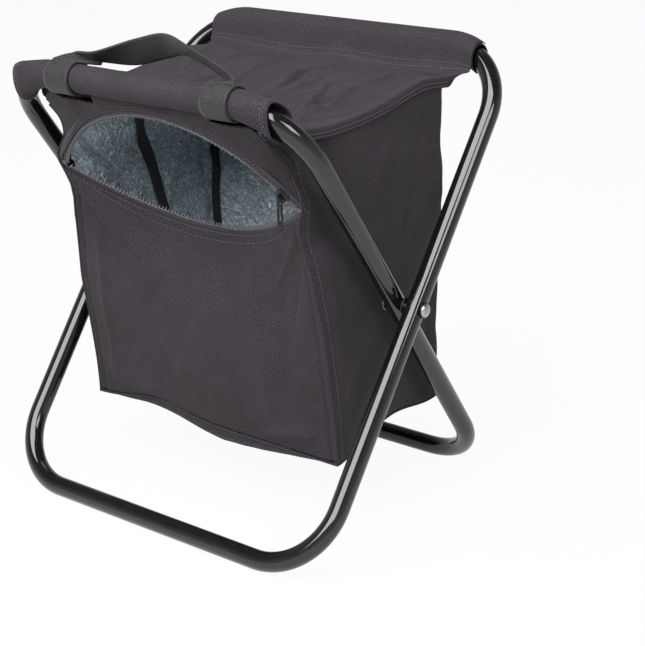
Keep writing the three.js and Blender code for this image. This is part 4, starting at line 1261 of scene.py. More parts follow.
def seat_holes(grid):
    """Cells that are cut away where the handle's loops go through."""
    middle = (grid[:-1, :-1] + grid[1:, 1:]) / 2
    near = np.abs(np.abs(middle[..., 0] - LOOP_SHIFT) - HANDLE_HALF_SPAN) < SLOT_HALF
    return near & (np.linalg.norm((middle - FRONT_AXIS)[..., 1:], axis=-1) < SLOT_RADIUS)


def row_at(grid, column, y):
    """The broken row number at which a column of the seat passes over y."""
    line = grid[column, :, 1]
    return float(np.interp(-y, -line, np.arange(len(line))))


def sleeve_grid(by_bar_at, half):
    """Cloth all round a bar, closed by a seam underneath, open at both ends."""
    x = evenly(-half, half, SLEEVE_COLUMNS)[:, None]
    turn = (SLEEVE_SEAM + evenly(0, 360 - SEAM_GAP, SLEEVE_SIDES))[None, :]
    uneven = softness(x, turn / SLEEVE_RIPPLE_TURN, SLEEVE_RIPPLES, 5)
    return by_bar_at(x + 0 * turn, turn + 0 * x, SLEEVE_RADIUS + uneven)


def end_rows(grid):
    """Two rows of stitches round each end of a sleeve."""
    rows = []
    last = grid.shape[0] - 1
    round_bar = (1, grid.shape[1] - 2)
    pitch = np.linalg.norm(grid[1, 0] - grid[0, 0])
    for distance in SLEEVE_STITCHES:
        i = distance / pitch
        rows += [(grid, i, round_bar, DOWN), (grid, last - i, round_bar, DOWN)]
    return rows


def build_seat():
    weave, thread = kept(polyester_cloth), kept(sewing_thread)
    for side, by_bar_at, half, body in (
        ("rear", by_rear_bar, REAR_SLEEVE_HALF, "outer_frame"),
        ("front", by_front_bar, FRONT_SLEEVE_HALF, "inner_frame"),
    ):
        grid = sleeve_grid(by_bar_at, half)
        sleeve = cloth(f"{side}_sleeve_cloth", grid, CLOTH, weave)
        fitted(sleeve, body, "bag_cloth", f"{side}_sleeve")
        sewn = stitched(f"{side}_sleeve_stitches", end_rows(grid), thread)
        fitted(sewn, body, "bag_cloth")
    grid = seat_grid()
    seat = cloth("seat_cloth", grid, CLOTH, weave, holes=seat_holes(grid))
    fitted(seat, "seat", "bag_cloth", "seat_panel")
    sewn = stitched("seat_stitches", seat_rows(grid), thread)
    fitted(sewn, "seat", "bag_cloth")


def seat_rows(grid):
    """Stitches: two rows across in front of the rear bar's tunnel, and two down each side."""
    last = grid.shape[0] - 1
    across = (len(SEAT_HEM), last - len(SEAT_HEM))
    rows = [(grid, across, row_at(grid, (last + 1) // 2, y), DOWN) for y in SEAT_STITCHES]
    along = [WRAP_ROWS + SEAT_ROWS * share for share in SIDE_STITCH_ENDS]
    for inward in SIDE_STITCHES:
        rows += [(grid, inward, along, DOWN), (grid, last - inward, along, DOWN)]
    return rows


# Bag


def on_arc(angle, radius):
    """Places on the zip's own arc, or on one beside it."""
    way = np.sin(angle)[..., None] * np.array([1.0, 0, 0]) + np.cos(angle)[..., None] * PLANE_UP
    return ARC_CENTRE + way * np.asarray(radius)[..., None]


def upper_lip(place):
    """Places on the upper lip, the way from the mouth up the cloth, and the cloth's face."""
    angle = place * math.asin(ZIP_HALF_WIDTH / ZIP_RADIUS)
    point = on_arc(angle, ZIP_RADIUS + 0 * angle)
    return point, unit(point - ARC_CENTRE), PLANE_OUT + 0 * point


def lower_lip(place):
    """Places on the lower lip, the way from the mouth down the cloth, and the cloth's face."""
    rise = 1 - place**2
    y, z = ZIP_CORNER
    point = np.stack([ZIP_HALF_WIDTH * place, y + LIP_INSET * rise, z - LIP_DROP * rise], -1)
    run = [ZIP_HALF_WIDTH + 0 * place, -2 * LIP_INSET * place, 2 * LIP_DROP * place]
    run = unit(np.stack(run, -1))
    back = np.stack([0 * place, mix(*LIP_LEAN, place**2), -1 + 0 * place], -1)
    back = unit(back - run * np.sum(back * run, -1, keepdims=True))
    return point, back, unit(np.cross(back, run))


def strip_grid():
    """The strip between the front bar's sleeve and the upper lip."""
    side = evenly(-1, 1, STRIP_COLUMNS)
    radius = ZIP_RADIUS + TAPE_COVERED
    foot = on_arc(side * math.asin(STRIP_HALF_WIDTH / radius), radius + 0 * side) + PLANE_OUT * OVER_TAPE
    head = by_front_bar(foot[:, 0], STRIP_LEAVES, STRIP_LEAVES_RADIUS)
    share = evenly(0, 1, STRIP_ROWS)[None, :, None]
    grid = mix(head[:, None], foot[:, None], share)
    tuck = CORNER_TUCK * np.abs(side) ** CORNER_POWER
    grid[..., 1] += tuck[:, None] * np.sin(math.pi * share[..., 0])
    grid[..., 0] -= (side**3)[:, None] * read_off(DRAWN_IN, grid[..., 2])
    hold = np.sin(math.pi * share[..., 0])
    return creased(grid, grid[..., 0], grid[..., 2], STRIP_FOLDS, 21, hold, DOWN)


def strip_holes(grid):
    """Slits that the handle's loops go through, just under the bar."""
    middle = (grid[:-1, :-1] + grid[1:, 1:]) / 2
    slit = np.abs(np.abs(middle[..., 0] - SLIT_SHIFT) - HANDLE_HALF_SPAN) < SLIT_LENGTH / 2
    return slit & (np.linalg.norm((middle - FRONT_AXIS)[..., 1:], axis=-1) < SLIT_RADIUS)


def seam_y(z):
    """How far forward the front corner seams stand at a height."""
    up = np.clip((z - STRIP_FOOT[1]) / (STRIP_HEAD[1] - STRIP_FOOT[1]), 0, 1)
    down = np.clip((z - BAG_FRONT_BOTTOM[1]) / (STRIP_FOOT[1] - BAG_FRONT_BOTTOM[1]), 0, 1)
    above = mix(STRIP_FOOT[0], STRIP_HEAD[0], up) + CORNER_TUCK * np.sin(math.pi * up)
    below = mix(BAG_FRONT_BOTTOM[0], STRIP_FOOT[0], down**SEAM_BOW)
    return np.where(z > STRIP_FOOT[1], above, below)


def read_off(table, value):
    """A quantity read off a table of places and sizes, with straight lines between."""
    return np.interp(value, *zip(*table))


def seam_rise(x):
    """How far the seam under the front panel is drawn up, left of the middle."""
    tall, place, width = SEAM_RISE
    return tall * np.exp(-(((x - place) / width) ** 2))


def rim_z(share):
    """How high the bottom seam stands, from the front of the bag to its back."""
    return mix(BAG_FRONT_BOTTOM[1], BAG_BACK_BOTTOM_Z, share) + SIDE_ARCH * np.sin(math.pi * share) ** 2


def front_edge(point, back, widened):
    """The panel's edge on the zip's lower tape."""
    aways = evenly(TAPE_COVERED, FRONT_TOP, EDGE_ROWS)[:-1]
    edge = np.stack([point + back * away for away in aways], axis=1)
    edge[..., 0] *= widened
    return edge


def front_body(place, top):
    """The panel from its top, below the zip, to the bottom seam, with a groove by each corner seam."""
    v = evenly(0, 1, FRONT_ROWS)[None, :]
    top_x, top_y, top_z = top[:, :1], top[:, 1:2], top[:, 2:3]
    z = mix(top_z, rim_z(0.0) + SEAM_LIFT + seam_rise(place * WALL_INSIDE), v)
    dent = (top_y - seam_y(top_z)) * (1 - v) ** DENT_POWER
    belly = FRONT_BELLY * (1 - place**2) * np.sin(math.pi * v)
    x = mix(top_x * WALL_INSIDE / top_x[-1], place * WALL_INSIDE, v)
    x = x - read_off(DRAWN_IN, z) * place**3 - read_off(LEFT_LEAN, z) * ((1 - place) / 2) ** 2
    deep, narrow, inward = CORNER_GROOVE
    from_groove = (1 - np.abs(place)) * WALL_INSIDE - inward
    groove = deep * np.exp(-((from_groove / narrow) ** 2)) * eased(0, GROOVE_STARTS, v)
    return np.stack([x, seam_y(z) + dent - belly + groove, z], -1)


def puckers(x, run):
    """Height of the small gathers along the stitches under the zip."""
    wave = PUCKER * np.sin(x * 2 * math.pi / PUCKER_LENGTH + ripple(x, 0, PUCKER_DRIFT, 8))
    return wave * np.exp(-(((run - PUCKER_ROW) / PUCKER_WIDTH) ** 2))


def front_grid():
    """The front panel, from its edge over the zip's lower tape down to the bottom seam."""
    place = evenly(-1, 1, FRONT_COLUMNS)
    point, back, out = lower_lip(place)
    top = point + back * FRONT_TOP
    place = place[:, None]
    edge = front_edge(point, back, WALL_INSIDE / top[-1, 0])
    grid = np.concatenate([edge, front_body(place, top)], axis=1)
    run = arc_lengths(grid, 1)
    over_tape = OVER_TAPE * (1 - eased(FRONT_TOP - TAPE_COVERED, OVER_TAPE_ENDS, run))
    grid = grid + out[:, None] * over_tape[..., None]
    hold = eased(*FRONT_CREASED, run) * (1 - np.abs(place) ** FRONT_EDGE_POWER)
    hold = hold * eased(0, FRONT_CREASED[1], run[:, -1:] - run)
    grid = grid + grid_normals(grid) * puckers(grid[..., 0], run)[..., None]
    return creased(grid, grid[..., 0], grid[..., 2], FRONT_FOLDS, 31, hold, DOWN)


def back_y(v):
    """How far back the bag's back stands, from its top down to the bottom seam."""
    return BAG_BACK_Y - BAG_BACK_TUCK * v**TUCK_POWER


def seat_height(x, y):
    """How high the seat's underside is over a place."""
    flat_x, flat_y = (part.ravel() for part in np.broadcast_arrays(x, y))
    lines = through(seat_lines(flat_x), evenly(0, 1, SEAT_HEIGHT_STEPS))
    heights = [np.interp(at, line[::-1, 1], line[::-1, 2]) for at, line in zip(flat_y, lines)]
    return np.array(heights).reshape(np.broadcast(x, y).shape)


def wall_top(x, y):
    """Where a wall's top edge stands: inside the seat's hem, and clear of the front bar's sleeve."""
    bar_y, bar_z = front_bar(x)
    reach = SLEEVE_REACH / np.sqrt(1 - (bend_past(x, INNER_HALF_WIDTH) / CORNER_RADIUS) ** 2)
    away = np.minimum(np.abs(y - bar_y), reach)
    under = np.where(np.abs(y - bar_y) < reach, bar_z - np.sqrt(reach**2 - away**2), bar_z + reach)
    return np.minimum(seat_height(x, y) - UNDER_SEAT, under)


def side_wall(side, v):
    """One side of the bag, from its front corner seam to the back."""
    u = evenly(0, 1, SIDE_COLUMNS)[:, None]
    fades = 1 - eased(0, DRAWN_FADES, u)
    top_x = side * (BAG_HALF_WIDTH - read_off(DRAWN_IN, STRIP_HEAD[1]) * fades)
    top = wall_top(top_x, mix(STRIP_HEAD[0], BAG_BACK_Y, u))
    z = mix(top, rim_z(u) + SEAM_LIFT, v)
    front_y = seam_y(mix(STRIP_HEAD[1] + SEAM_AHEAD, BAG_FRONT_BOTTOM[1], v))
    belly = SIDE_BELLY * np.sin(math.pi * u) * np.sin(math.pi * v)
    x = side * (BAG_HALF_WIDTH + belly - read_off(DRAWN_IN, z) * fades)
    x = x - read_off(LEFT_LEAN, z) * (1 - u) * (side < 0)
    return np.stack([x, mix(front_y, back_y(v), u), z], -1)


def back_wall(v):
    """The bag's back, between the two sides."""
    x = evenly(-1, 1, BACK_COLUMNS)[1:-1, None] * BAG_HALF_WIDTH
    belly = BACK_BELLY * (1 - (x / BAG_HALF_WIDTH) ** 2) * np.sin(math.pi * v)
    z = mix(wall_top(x, BAG_BACK_Y + 0 * x), rim_z(1.0) + SEAM_LIFT, v)
    return np.stack([x + 0 * z, back_y(v) + belly, z], -1)


def wall_grid():
    """Left side, back and right side as one sheet, from front corner to front corner."""
    v = evenly(0, 1, WALL_ROWS)[None, :]
    left, back, right = side_wall(-1, v), back_wall(v), side_wall(1, v)[::-1]
    height = [folds(part[..., 1], part[..., 2], SIDE_FOLDS) for part in (left, right)]
    height.insert(1, folds(back[..., 0], back[..., 2], BACK_FOLDS))
    grid = round_corners(np.concatenate([left, back, right]))
    run = arc_lengths(grid, 0)
    height = np.concatenate(height) + softness(run, grid[..., 2], WALL_RIPPLES, 41)
    hold = np.sin(math.pi * v) ** WALL_HOLD_POWER
    hold = hold * eased(0, WALL_HOLD, run) * eased(0, WALL_HOLD, run[-1:] - run)
    return grid + grid_normals(grid) * (height * hold * look().crease_depth)[..., None]


def round_corners(grid):
    """Softens the two back corners, where one piece of cloth turns from side to back."""
    sharp = grid.copy()
    for corner in (SIDE_COLUMNS, grid.shape[0] - 1 - SIDE_COLUMNS):
        near = slice(corner - CORNER_SPAN, corner + CORNER_SPAN + 1)
        for _ in range(CORNER_PASSES):
            part = grid[near].copy()
            part[1:-1] = (part[:-2] + part[2:]) / 2
            grid[near] = part
    low = eased(*CORNER_SQUARES, evenly(0, 1, WALL_ROWS))[None, :, None]
    return mix(grid, sharp, low)


def floor_grid(smooth=False):
    """The bag's bottom, sagging between its seams; smooth leaves its folds out."""
    x = evenly(-1, 1, FLOOR_COLUMNS)[:, None] * FLOOR_HALF_WIDTH
    share = evenly(0, 1, FLOOR_ROWS)[None, :]
    sag = BOTTOM_SAG * (1 - (x / SEAT_HALF_WIDTH) ** 2) * np.sin(math.pi * share**SAG_FORWARD)
    y = mix(BAG_FRONT_BOTTOM[0] - SEAM_LIFT, back_y(1.0) + SEAM_LIFT, share)
    lean = LEFT_LEAN[0][1] * ((1 - x / BAG_HALF_WIDTH) / 2) ** 2 * (1 - share)
    z = rim_z(share) - sag + seam_rise(x) * (1 - share) ** 3
    grid = np.stack([x - lean + 0 * y, y + 0 * x, z], -1)
    if smooth:
        return grid
    hold = np.sin(math.pi * share) * (1 - (x / BAG_HALF_WIDTH) ** FLOOR_EDGE_POWER)
    return creased(grid, grid[..., 0], grid[..., 1], FLOOR_FOLDS, 51, hold, DOWN)


def from_edge(grid, distance, far=True):
    """Row and column numbers of a line that keeps its distance from a sheet's edge."""
    run = arc_lengths(grid, 1)
    at = run[:, -1] - distance if far else distance + 0 * run[:, -1]
    along = [np.interp(place, line, np.arange(len(line))) for place, line in zip(at, run)]
    return np.arange(len(run)), np.array(along)


def corner_seam(side):
    """The seam down a front corner, from under the bar to the bottom."""
    z = evenly(STRIP_HEAD[1] - CORNER_SEAM_DROP, BAG_FRONT_BOTTOM[1], CORNER_SEAM_STEPS)
    x = side * (BAG_HALF_WIDTH - CORNER_SEAM_IN - read_off(DRAWN_IN, z))
    x = x - read_off(LEFT_LEAN, z) * (side < 0)
    return np.stack([x, seam_y(z) - CORNER_SEAM_OUT, z], -1)


def bottom_seam():
    """The seam round the bottom, from one front corner round to the same corner."""
    floor = floor_grid(smooth=True)
    ring = [floor[:, 0], floor[-1, :], floor[::-1, -1], floor[0, ::-1]]
    path = np.concatenate([part[:-1] for part in ring])
    return np.concatenate([path, path[:1]])


def bag_stitches(strip, front, walls, floor):
    """Rows of stitches for each of the bag's sheets."""
    corners = (CORNER_STITCH, walls.shape[0] - 1 - CORNER_STITCH)
    ends = (FLOOR_STITCH, FLOOR_ROWS - FLOOR_STITCH)
    return (
        [(strip, *from_edge(strip, away), DOWN) for away in STRIP_STITCHES],
        [(front, *from_edge(front, away, far=False), DOWN) for away in FRONT_STITCHES],
        [(walls, column, (2, WALL_ROWS - 1), UP) for column in corners],
        [(floor, (2, FLOOR_COLUMNS - 2), row, DOWN) for row in ends],
    )


def build_bag():
    weave, thread = kept(polyester_cloth), kept(sewing_thread)
    grids = (strip_grid(), front_grid(), wall_grid(), floor_grid())
    for (name, body, nodes, cut), grid, rows in zip(BAG_SHEETS, grids, bag_stitches(*grids)):
        holes = strip_holes(grid) if name == "front_strip" else None
        sheet = cloth(f"{name}_cloth", grid, CLOTH, weave, holes)
        fitted(sheet, body, "bag_cloth", *nodes)
        sewn = stitched(f"{name}_stitches", rows, thread)
        fitted(sewn, body, "bag_cloth")
    for name, path, body in (
        ("left_seam", corner_seam(-1), "bag_front"),
        ("right_seam", corner_seam(1), "bag_front"),
        ("bottom_seam", bottom_seam(), "bag"),
    ):
        fitted(swept(name, path, WELT_RADIUS, WELT_SIDES, weave), body, "bag_cloth")


# Lining


def crinkled(grid, seed):
    """Crushed foil: many small ridges in every direction."""
    height = softness(arc_lengths(grid, 0), arc_lengths(grid, 1), FOIL_RIPPLES, seed)
    height += np.random.default_rng(seed).normal(0, FOIL_ROUGHNESS, height.shape)
    return grid + grid_normals(grid) * (height * look().foil_crinkle / MM)[..., None]


def refined(grid, rows, columns):
    """The same surface on a finer grid."""
    i = evenly(0, grid.shape[0] - 1, rows)[:, None]
    j = evenly(0, grid.shape[1] - 1, columns)[None, :]
    return grid_at(grid, i, j)


def inset(grid, distance, side):
    """The same sheet moved along its normals."""
    return grid + grid_normals(grid) * (distance * side)


def trimmed(grid, low, high):
    """The part of a grid between two shares along it."""
    span = grid.shape[1] - 1
    return grid[:, int(low * span) : int(high * span) + 1]


def lined_grids(walls):
    """The parts of the bag's own cloth that the foil lies inside: walls, front, bottom and seat."""
    edge, hem = FOIL_EDGE, len(SEAT_HEM)
    front = front_grid()[edge:-edge, EDGE_ROWS + 1 :]
    floor = floor_grid()[FLOOR_FOIL_EDGE:-FLOOR_FOIL_EDGE]
    seat = seat_grid()[hem:-hem, WRAP_ROWS : WRAP_ROWS + SEAT_ROWS + 1]
    return walls[edge:-edge], front, floor, seat[TOP_FOIL_EDGE:-TOP_FOIL_EDGE]


def binding_places(run):
    """Where the middle of each tape runs round the walls, at their top and at their bottom."""
    top, bottom = BINDING_TOP * run[SIDE_COLUMNS], BINDING_BOTTOM * run[SIDE_COLUMNS]
    back_left = run[SIDE_COLUMNS] + CORNER_TAPE
    back_right = run[-1 - SIDE_COLUMNS] - CORNER_TAPE
    return (
        ("binding_side_left", top, bottom),
        ("binding_side_right", run[-1] - top, run[-1] - bottom),
        ("binding_back_left", back_left, back_left),
        ("binding_back_right", back_right, back_right),
    )


def build_bindings(walls):
    """The dark tapes that cover the lining's edges."""
    tape = kept(binding_tape)
    inside = inset(walls, FOIL_OFFSET + FOIL + BINDING + TAPE_CLEAR, DOWN)
    run = arc_lengths(walls, 0)[:, WALL_ROWS // 2]
    first, last = BINDING_ENDS
    j = evenly(first * WALL_ROWS, last * WALL_ROWS, BINDING_ROWS)[None, :]
    across = (evenly(-1, 1, BINDING_COLUMNS) * BINDING_WIDTH / 2)[:, None]
    for node, top, bottom in binding_places(run):
        i = np.interp(mix(top, bottom, j / WALL_ROWS) + across, run, np.arange(len(run)))
        piece = cloth(f"{node}_tape", grid_at(inside, i, j), BINDING, tape)
        fitted(piece, "bag", "binding_tape", node)


def build_lining():
    foil = kept(foil_laminate)
    walls = wall_grid()
    for seed, (grid, row) in enumerate(zip(lined_grids(walls), FOIL_SHEETS), FOIL_SEED):
        name, body, nodes, reach, side, cells, cut = row
        grid = inset(trimmed(grid, *reach), FOIL_OFFSET, side)
        sheet = cloth(name, crinkled(refined(grid, *cells), seed), FOIL, foil)
        fitted(sheet, body, "foil_lining", *nodes)
    build_bindings(walls)


# Zip


def tooth_row(name, lip, surface):
    """The turns of the coil that show along one lip, set closely side by side."""
    place = evenly(-1, 1, PATH_STEPS) * CHAIN_HALF_WIDTH / ZIP_HALF_WIDTH
    path, _, out = lip(place)
    middle, ahead, up = spaced(path, out, look().tooth_pitch / MM)
    across = np.cross(up, ahead)
    wave = (np.arange(len(middle)) % 2 * 2 - 1)[:, None] * TOOTH_STAGGER
    frames = np.stack([unit(across + ahead * TOOTH_SLANT), ahead, up], axis=1)
    tooth = capsule(TOOTH_LENGTH, TOOTH_RADIUS, TOOTH_SIDES)
    return scattered(name, tooth, middle + across * wave, frames, surface)


def coil_core(name, lip, surface):
    """The cord that runs through a row of teeth."""
    path, back, out = lip(evenly(-1, 1, CORE_STEPS) * CHAIN_HALF_WIDTH / ZIP_HALF_WIDTH)
    path = path + back * CORE_BACK + out * CORE_OUT
    return swept(name, path, CORE_RADIUS, CORE_SIDES, surface)


def bevelled(points, faces, width):
    """A small hard piece with its edges taken off: new points and faces."""
    shape = bmesh.new()
    corners = [shape.verts.new(point) for point in points]
    for face in faces:
        shape.faces.new([corners[p] for p in face])
    bmesh.ops.recalc_face_normals(shape, faces=shape.faces)
    if width:
        edges = list(shape.edges)
        bmesh.ops.bevel(shape, geom=edges, offset=width, segments=2, profile=0.5, affect="EDGES")
    shape.verts.index_update()
    places = [tuple(vert.co) for vert in shape.verts]
    corners = [tuple(vert.index for vert in face.verts) for face in shape.faces]
    shape.free()
    return places, corners


def prism(outline, low, high, bevel=0.0):
    """A plate with a given outline in X and Y, from low to high in Z."""
    count = len(outline)
    points = [(x, y, z) for z in (low, high) for x, y in outline]
    faces = [tuple(range(count))[::-1], tuple(range(count, 2 * count))]
    faces += [(i, (i + 1) % count, count + (i + 1) % count, count + i) for i in range(count)]
    return bevelled(points, faces, bevel)


def slab(low, high, bevel=0.0):
    """A box between two opposite corners."""
    (x0, y0, z0), (x1, y1, z1) = low, high
    return prism([(x0, y0), (x1, y0), (x1, y1), (x0, y1)], z0, z1, bevel)


def assembled(name, parts, surface, axes, place):
    """Several small shapes as one mesh, turned to axes and set in place."""
    points, faces = [], []
    for part_points, part_faces in parts:
        faces += [tuple(len(points) + p for p in face) for face in part_faces]
        points += list(part_points)
    placed = np.array(points) @ np.array(axes) + np.array(place)
    return sharpened(add_mesh(name, placed, faces, surface), SMALL_SHARP_DEGREES)


def staple_parts(top, turn):
    """The staple that the pull hangs from: two legs and a bar, turned to lie along the bars."""
    high = top + STAPLE_ROOM + STAPLE_BAR
    half, wide = STAPLE_LENGTH / 2, STAPLE_WIDTH / 2
    foot, leg_top = top - STAPLE_SUNK, high - OVERLAP
    bars = [
        slab((-wide, -half, foot), (wide, STAPLE_BAR - half, leg_top), PULL_BEVEL),
        slab((-wide, half - STAPLE_BAR, foot), (wide, half, leg_top), PULL_BEVEL),
        slab((-wide, -half, high - STAPLE_BAR), (wide, half, high), ROUND_BEVEL),
    ]
    along, aside = math.cos(turn), math.sin(turn)
    turned = np.array([[along, aside, 0], [-aside, along, 0], [0, 0, 1]])
    return [((np.array(points) @ turned).tolist(), faces) for points, faces in bars]


def slider_parts(turn):
    """The slider: X along the zip, Y across it and Z out of it, with two plates, a post and a lip."""
    half_x, half_y = SLIDER_SIZE[0] / 2, SLIDER_SIZE[1] / 2
    outline = [(half_x * x, half_y * y) for x, y in SLIDER_OUTLINE]
    top = SLIDER_GAP + SLIDER_PLATE
    middle = SLIDER_GAP + SLIDER_PLATE / 2
    lip_x, lip_low, lip_rise = half_x * SLIDER_LIP[0], SLIDER_LIP[1], SLIDER_LIP[2]
    post = (half_x - POST_LENGTH, POST_SIDES[0], -middle), (half_x, POST_SIDES[1], middle)
    lip = (-lip_x, half_y - LIP_THICKNESS, lip_low), (lip_x, half_y, SLIDER_GAP + lip_rise)
    return [
        prism(outline, SLIDER_GAP, top, SLIDER_BEVEL),
        prism(outline, -top, -SLIDER_GAP, SLIDER_BEVEL),
        slab(*post, SMALL_BEVEL),
        slab(*lip, LIP_BEVEL),
        *staple_parts(top, turn),
    ]


def pull_eye():
    """The pull's two arms, and the round bar between them that turns in the staple."""
    half, deep = PULL_WIDTH / 2, PULL_THICKNESS / 2
    inside = STAPLE_WIDTH / 2 + PIVOT_FIT
    low, high = -PULL_NECK - deep, PULL_ARM_TOP
    turn = evenly(0, 2 * math.pi, PULL_BAR_SIDES)[:-1]
    ring = [(PULL_BAR / 2 * math.cos(a), PULL_BAR / 2 * math.sin(a)) for a in turn]
    points, faces = prism(ring, -half, half)
    return [
        slab((-half, low, -deep), (-inside, high, deep), SMALL_BEVEL),
        slab((inside, low, -deep), (half, high, deep), SMALL_BEVEL),
    ], ([(z, x, y) for x, y, z in points], faces)


def pull_parts():
    """The pull, hanging: X across it, Y up it and Z out of it."""
    half, deep = PULL_WIDTH / 2, PULL_THICKNESS / 2
    slot_width, slot_start, slot_length = PULL_SLOT
    slot_half = slot_width / 2
    low = -PULL_NECK - slot_start
    high = low - slot_length
    arms, bar = pull_eye()
    tip_half, tip_start = half * PULL_TIP[0], PULL_TIP[1] - PULL_LENGTH
    tip = [(half, high), (-half, high), (-half, tip_start), (-tip_half, -PULL_LENGTH)]
    tip += [(tip_half, -PULL_LENGTH), (half, tip_start)]
    sides = (high - OVERLAP, low + OVERLAP)
    return [
        *arms,
        slab((-half, low, -deep), (half, -PULL_NECK, deep), PULL_BEVEL),
        slab((-half, sides[0], -deep), (-slot_half, sides[1], deep), PULL_BEVEL),
        slab((slot_half, sides[0], -deep), (half, sides[1], deep), PULL_BEVEL),
        prism(tip, -deep, deep, PULL_BEVEL),
        bar,
    ]


def build_chain(coil, tape):
    """The zip's two tapes, each with its row of teeth."""
    for side, lip, reach in (("upper", upper_lip, UPPER_TAPE_REACH), ("lower", lower_lip, 1)):
        point, back, _ = lip(evenly(-1, 1, TAPE_COLUMNS) * reach)
        rows = [point + back * away for away in evenly(TAPE_INNER, TAPE_OUTER, TAPE_ROWS)]
        band = cloth(f"zip_{side}_tape", np.stack(rows, axis=1), TAPE_THICKNESS, tape)
        fitted(band, "bag_front", "binding_tape", f"zip_tape_{side}")
        fitted(tooth_row(f"zip_{side}_teeth", lip, coil), "bag_front", "zip_plastic", f"zip_chain_{side}")
        fitted(coil_core(f"zip_{side}_cord", lip, coil), "bag_front", "zip_plastic")


def build_stops(coil):
    """The stop at each end of the zip."""
    axes = ((1, 0, 0), PLANE_UP, PLANE_OUT)
    half = np.array(STOP_SIZE) / 2
    for side, way in (("left", -1), ("right", 1)):
        corner = (way * (WALL_INSIDE - PIVOT_FIT - half[0]), *ZIP_CORNER)
        stop = slab(-half, half, ROUND_BEVEL)
        place = np.array(corner) + PLANE_UP * STOP_RISE
        made = assembled(f"zip_stop_look_{side}", [stop], coil, axes, place)
        fitted(made, "bag_front", "zip_plastic", f"zip_stop_{side}")


def build_slider(metal):
    """The slider on the upper lip, and the pull that hangs from it."""
    angle = math.asin(SLIDER_X / ZIP_RADIUS)
    middle = on_arc(np.array(angle), np.array(ZIP_RADIUS))
    radial = unit(middle - ARC_CENTRE)
    axes = (np.cross(radial, PLANE_OUT), radial, PLANE_OUT)
    slider = assembled("zip_slider_body", slider_parts(angle), metal, axes, middle)
    carried_along(slider, "slider", "zip_slider")
    pin = middle + PLANE_OUT * (SLIDER_GAP + SLIDER_PLATE + STAPLE_ROOM / 2)
    pull = assembled("zip_pull_tab", pull_parts(), metal, ((1, 0, 0), (0, 0, 1), (0, -1, 0)), pin)
    carried_along(pull, "pull", "zip_pull")


def build_zip():
    coil = kept(coil_nylon)
    build_chain(coil, kept(zip_tape))
    build_stops(coil)
    build_slider(kept(enamelled_zinc))


# Handle


def strap_grid():
    """The handle's strap, laid through stations between its two loops."""
    root = LOOP_OUTER * np.array([math.cos(STRAP_ROOT), math.sin(STRAP_ROOT)])
    left, right = (
        ((side * HANDLE_HALF_SPAN + LOOP_SHIFT, *root), (-side, 0, 0)) for side in (-1, 1)
    )
    span = (HANDLE_HALF_SPAN, HANDLE_BACK, HANDLE_RISE)
    middle = [(np.array(shares) * span, way) for *shares, way in STRAP_ROWS]
    stations = [left, *middle, right]
    places = np.array([place for place, _ in stations]) + FRONT_AXIS
    ways = unit(np.array([way for _, way in stations], float)) * STRAP_WIDTH / 2
    shares = evenly(0, 1, STRAP_STEPS)
    low = through((places - ways)[None], shares)[0]
    high = through((places + ways)[None], shares)[0]
    across = evenly(0, 1, STRAP_COLUMNS)[None, :, None]
    return mix(low[:, None], high[:, None], across)


def loop_grid(side):
    """The webbing's turn round the bar, with its end sewn down behind."""
    turn = math.degrees(STRAP_ROOT) + evenly(LOOP_GAP, 360 - LOOP_GAP, LOOP_STEPS)
    x = side * HANDLE_HALF_SPAN + LOOP_SHIFT + evenly(-1, 1, STRAP_COLUMNS) * STRAP_WIDTH / 2
    radius = (LOOP_INNER + LOOP_OUTER) / 2
    angle = np.radians(turn)[:, None]
    ring = [x[None, :] + 0 * angle, radius * np.cos(angle) + 0 * x, radius * np.sin(angle) + 0 * x]
    return np.stack(ring, -1) + FRONT_AXIS


def box_rows(grid, ends):
    """A sewn box with a line across it, on both sides of the webbing, for each pair of ends."""
    near = STRAP_COLUMNS * STRAP_STITCH_INSET / STRAP_WIDTH
    far = STRAP_COLUMNS - near
    rows = []
    for way in (DOWN, UP):
        for pair in ends:
            along = np.array(pair) * (grid.shape[0] - 1)
            rows += [(grid, along, near, way), (grid, along, far, way)]
            rows += [(grid, end, (near, far), way) for end in along]
            rows.append((grid, along, (near, far), way))
    return [lifted(row) for row in rows]


def build_handle():
    webbing, thread = kept(handle_webbing), kept(webbing_thread)
    for name, grid, nodes, ends, cut in (
        ("handle_strap", strap_grid(), ["carry_handle"], STRAP_BOXES, STRAP_CUT),
        ("handle_loop_left", loop_grid(-1), [], LOOP_BOXES, LOOP_CUT),
        ("handle_loop_right", loop_grid(1), [], LOOP_BOXES, LOOP_CUT),
    ):
        piece = cloth(name, grid, STRAP_THICKNESS, webbing)
        fitted(piece, "handle", "webbing", *nodes)
        sewn = stitched(f"{name}_stitches", box_rows(grid, ends), thread)
        fitted(sewn, "handle", "webbing")


def lifted(row):
    """A stitch row's sheet moved out to the face of the thick webbing."""
    grid, i, j, side = row
    extra = (STRAP_THICKNESS - CLOTH) / 2
    return grid + grid_normals(grid) * extra * side, i, j, side


# Studio


def whiten(tree):
    """Makes a material mostly plain white to the camera and in reflections, with its shadows left."""
    ray = add_node(tree, "LightPath")
    share = 0.0
    for kind, glow in (("Is Camera Ray", FLOOR_GLOW), ("Is Glossy Ray", FLOOR_SHINE)):
        sum_of = {0: ray.outputs[kind], 1: glow, 2: share}
        share = add_node(tree, "Math", sum_of, 0, operation="MULTIPLY_ADD")
    white = add_node(tree, "Emission", {"Color": paint("#ffffff"), "Strength": 1.0}, 0)
    shader = tree.nodes["Principled BSDF"]
    both = add_node(tree, "MixShader", {0: share, 1: shader.outputs["BSDF"], 2: white}, 0)
    tree.links.new(both, tree.nodes["Material Output"].inputs["Surface"])


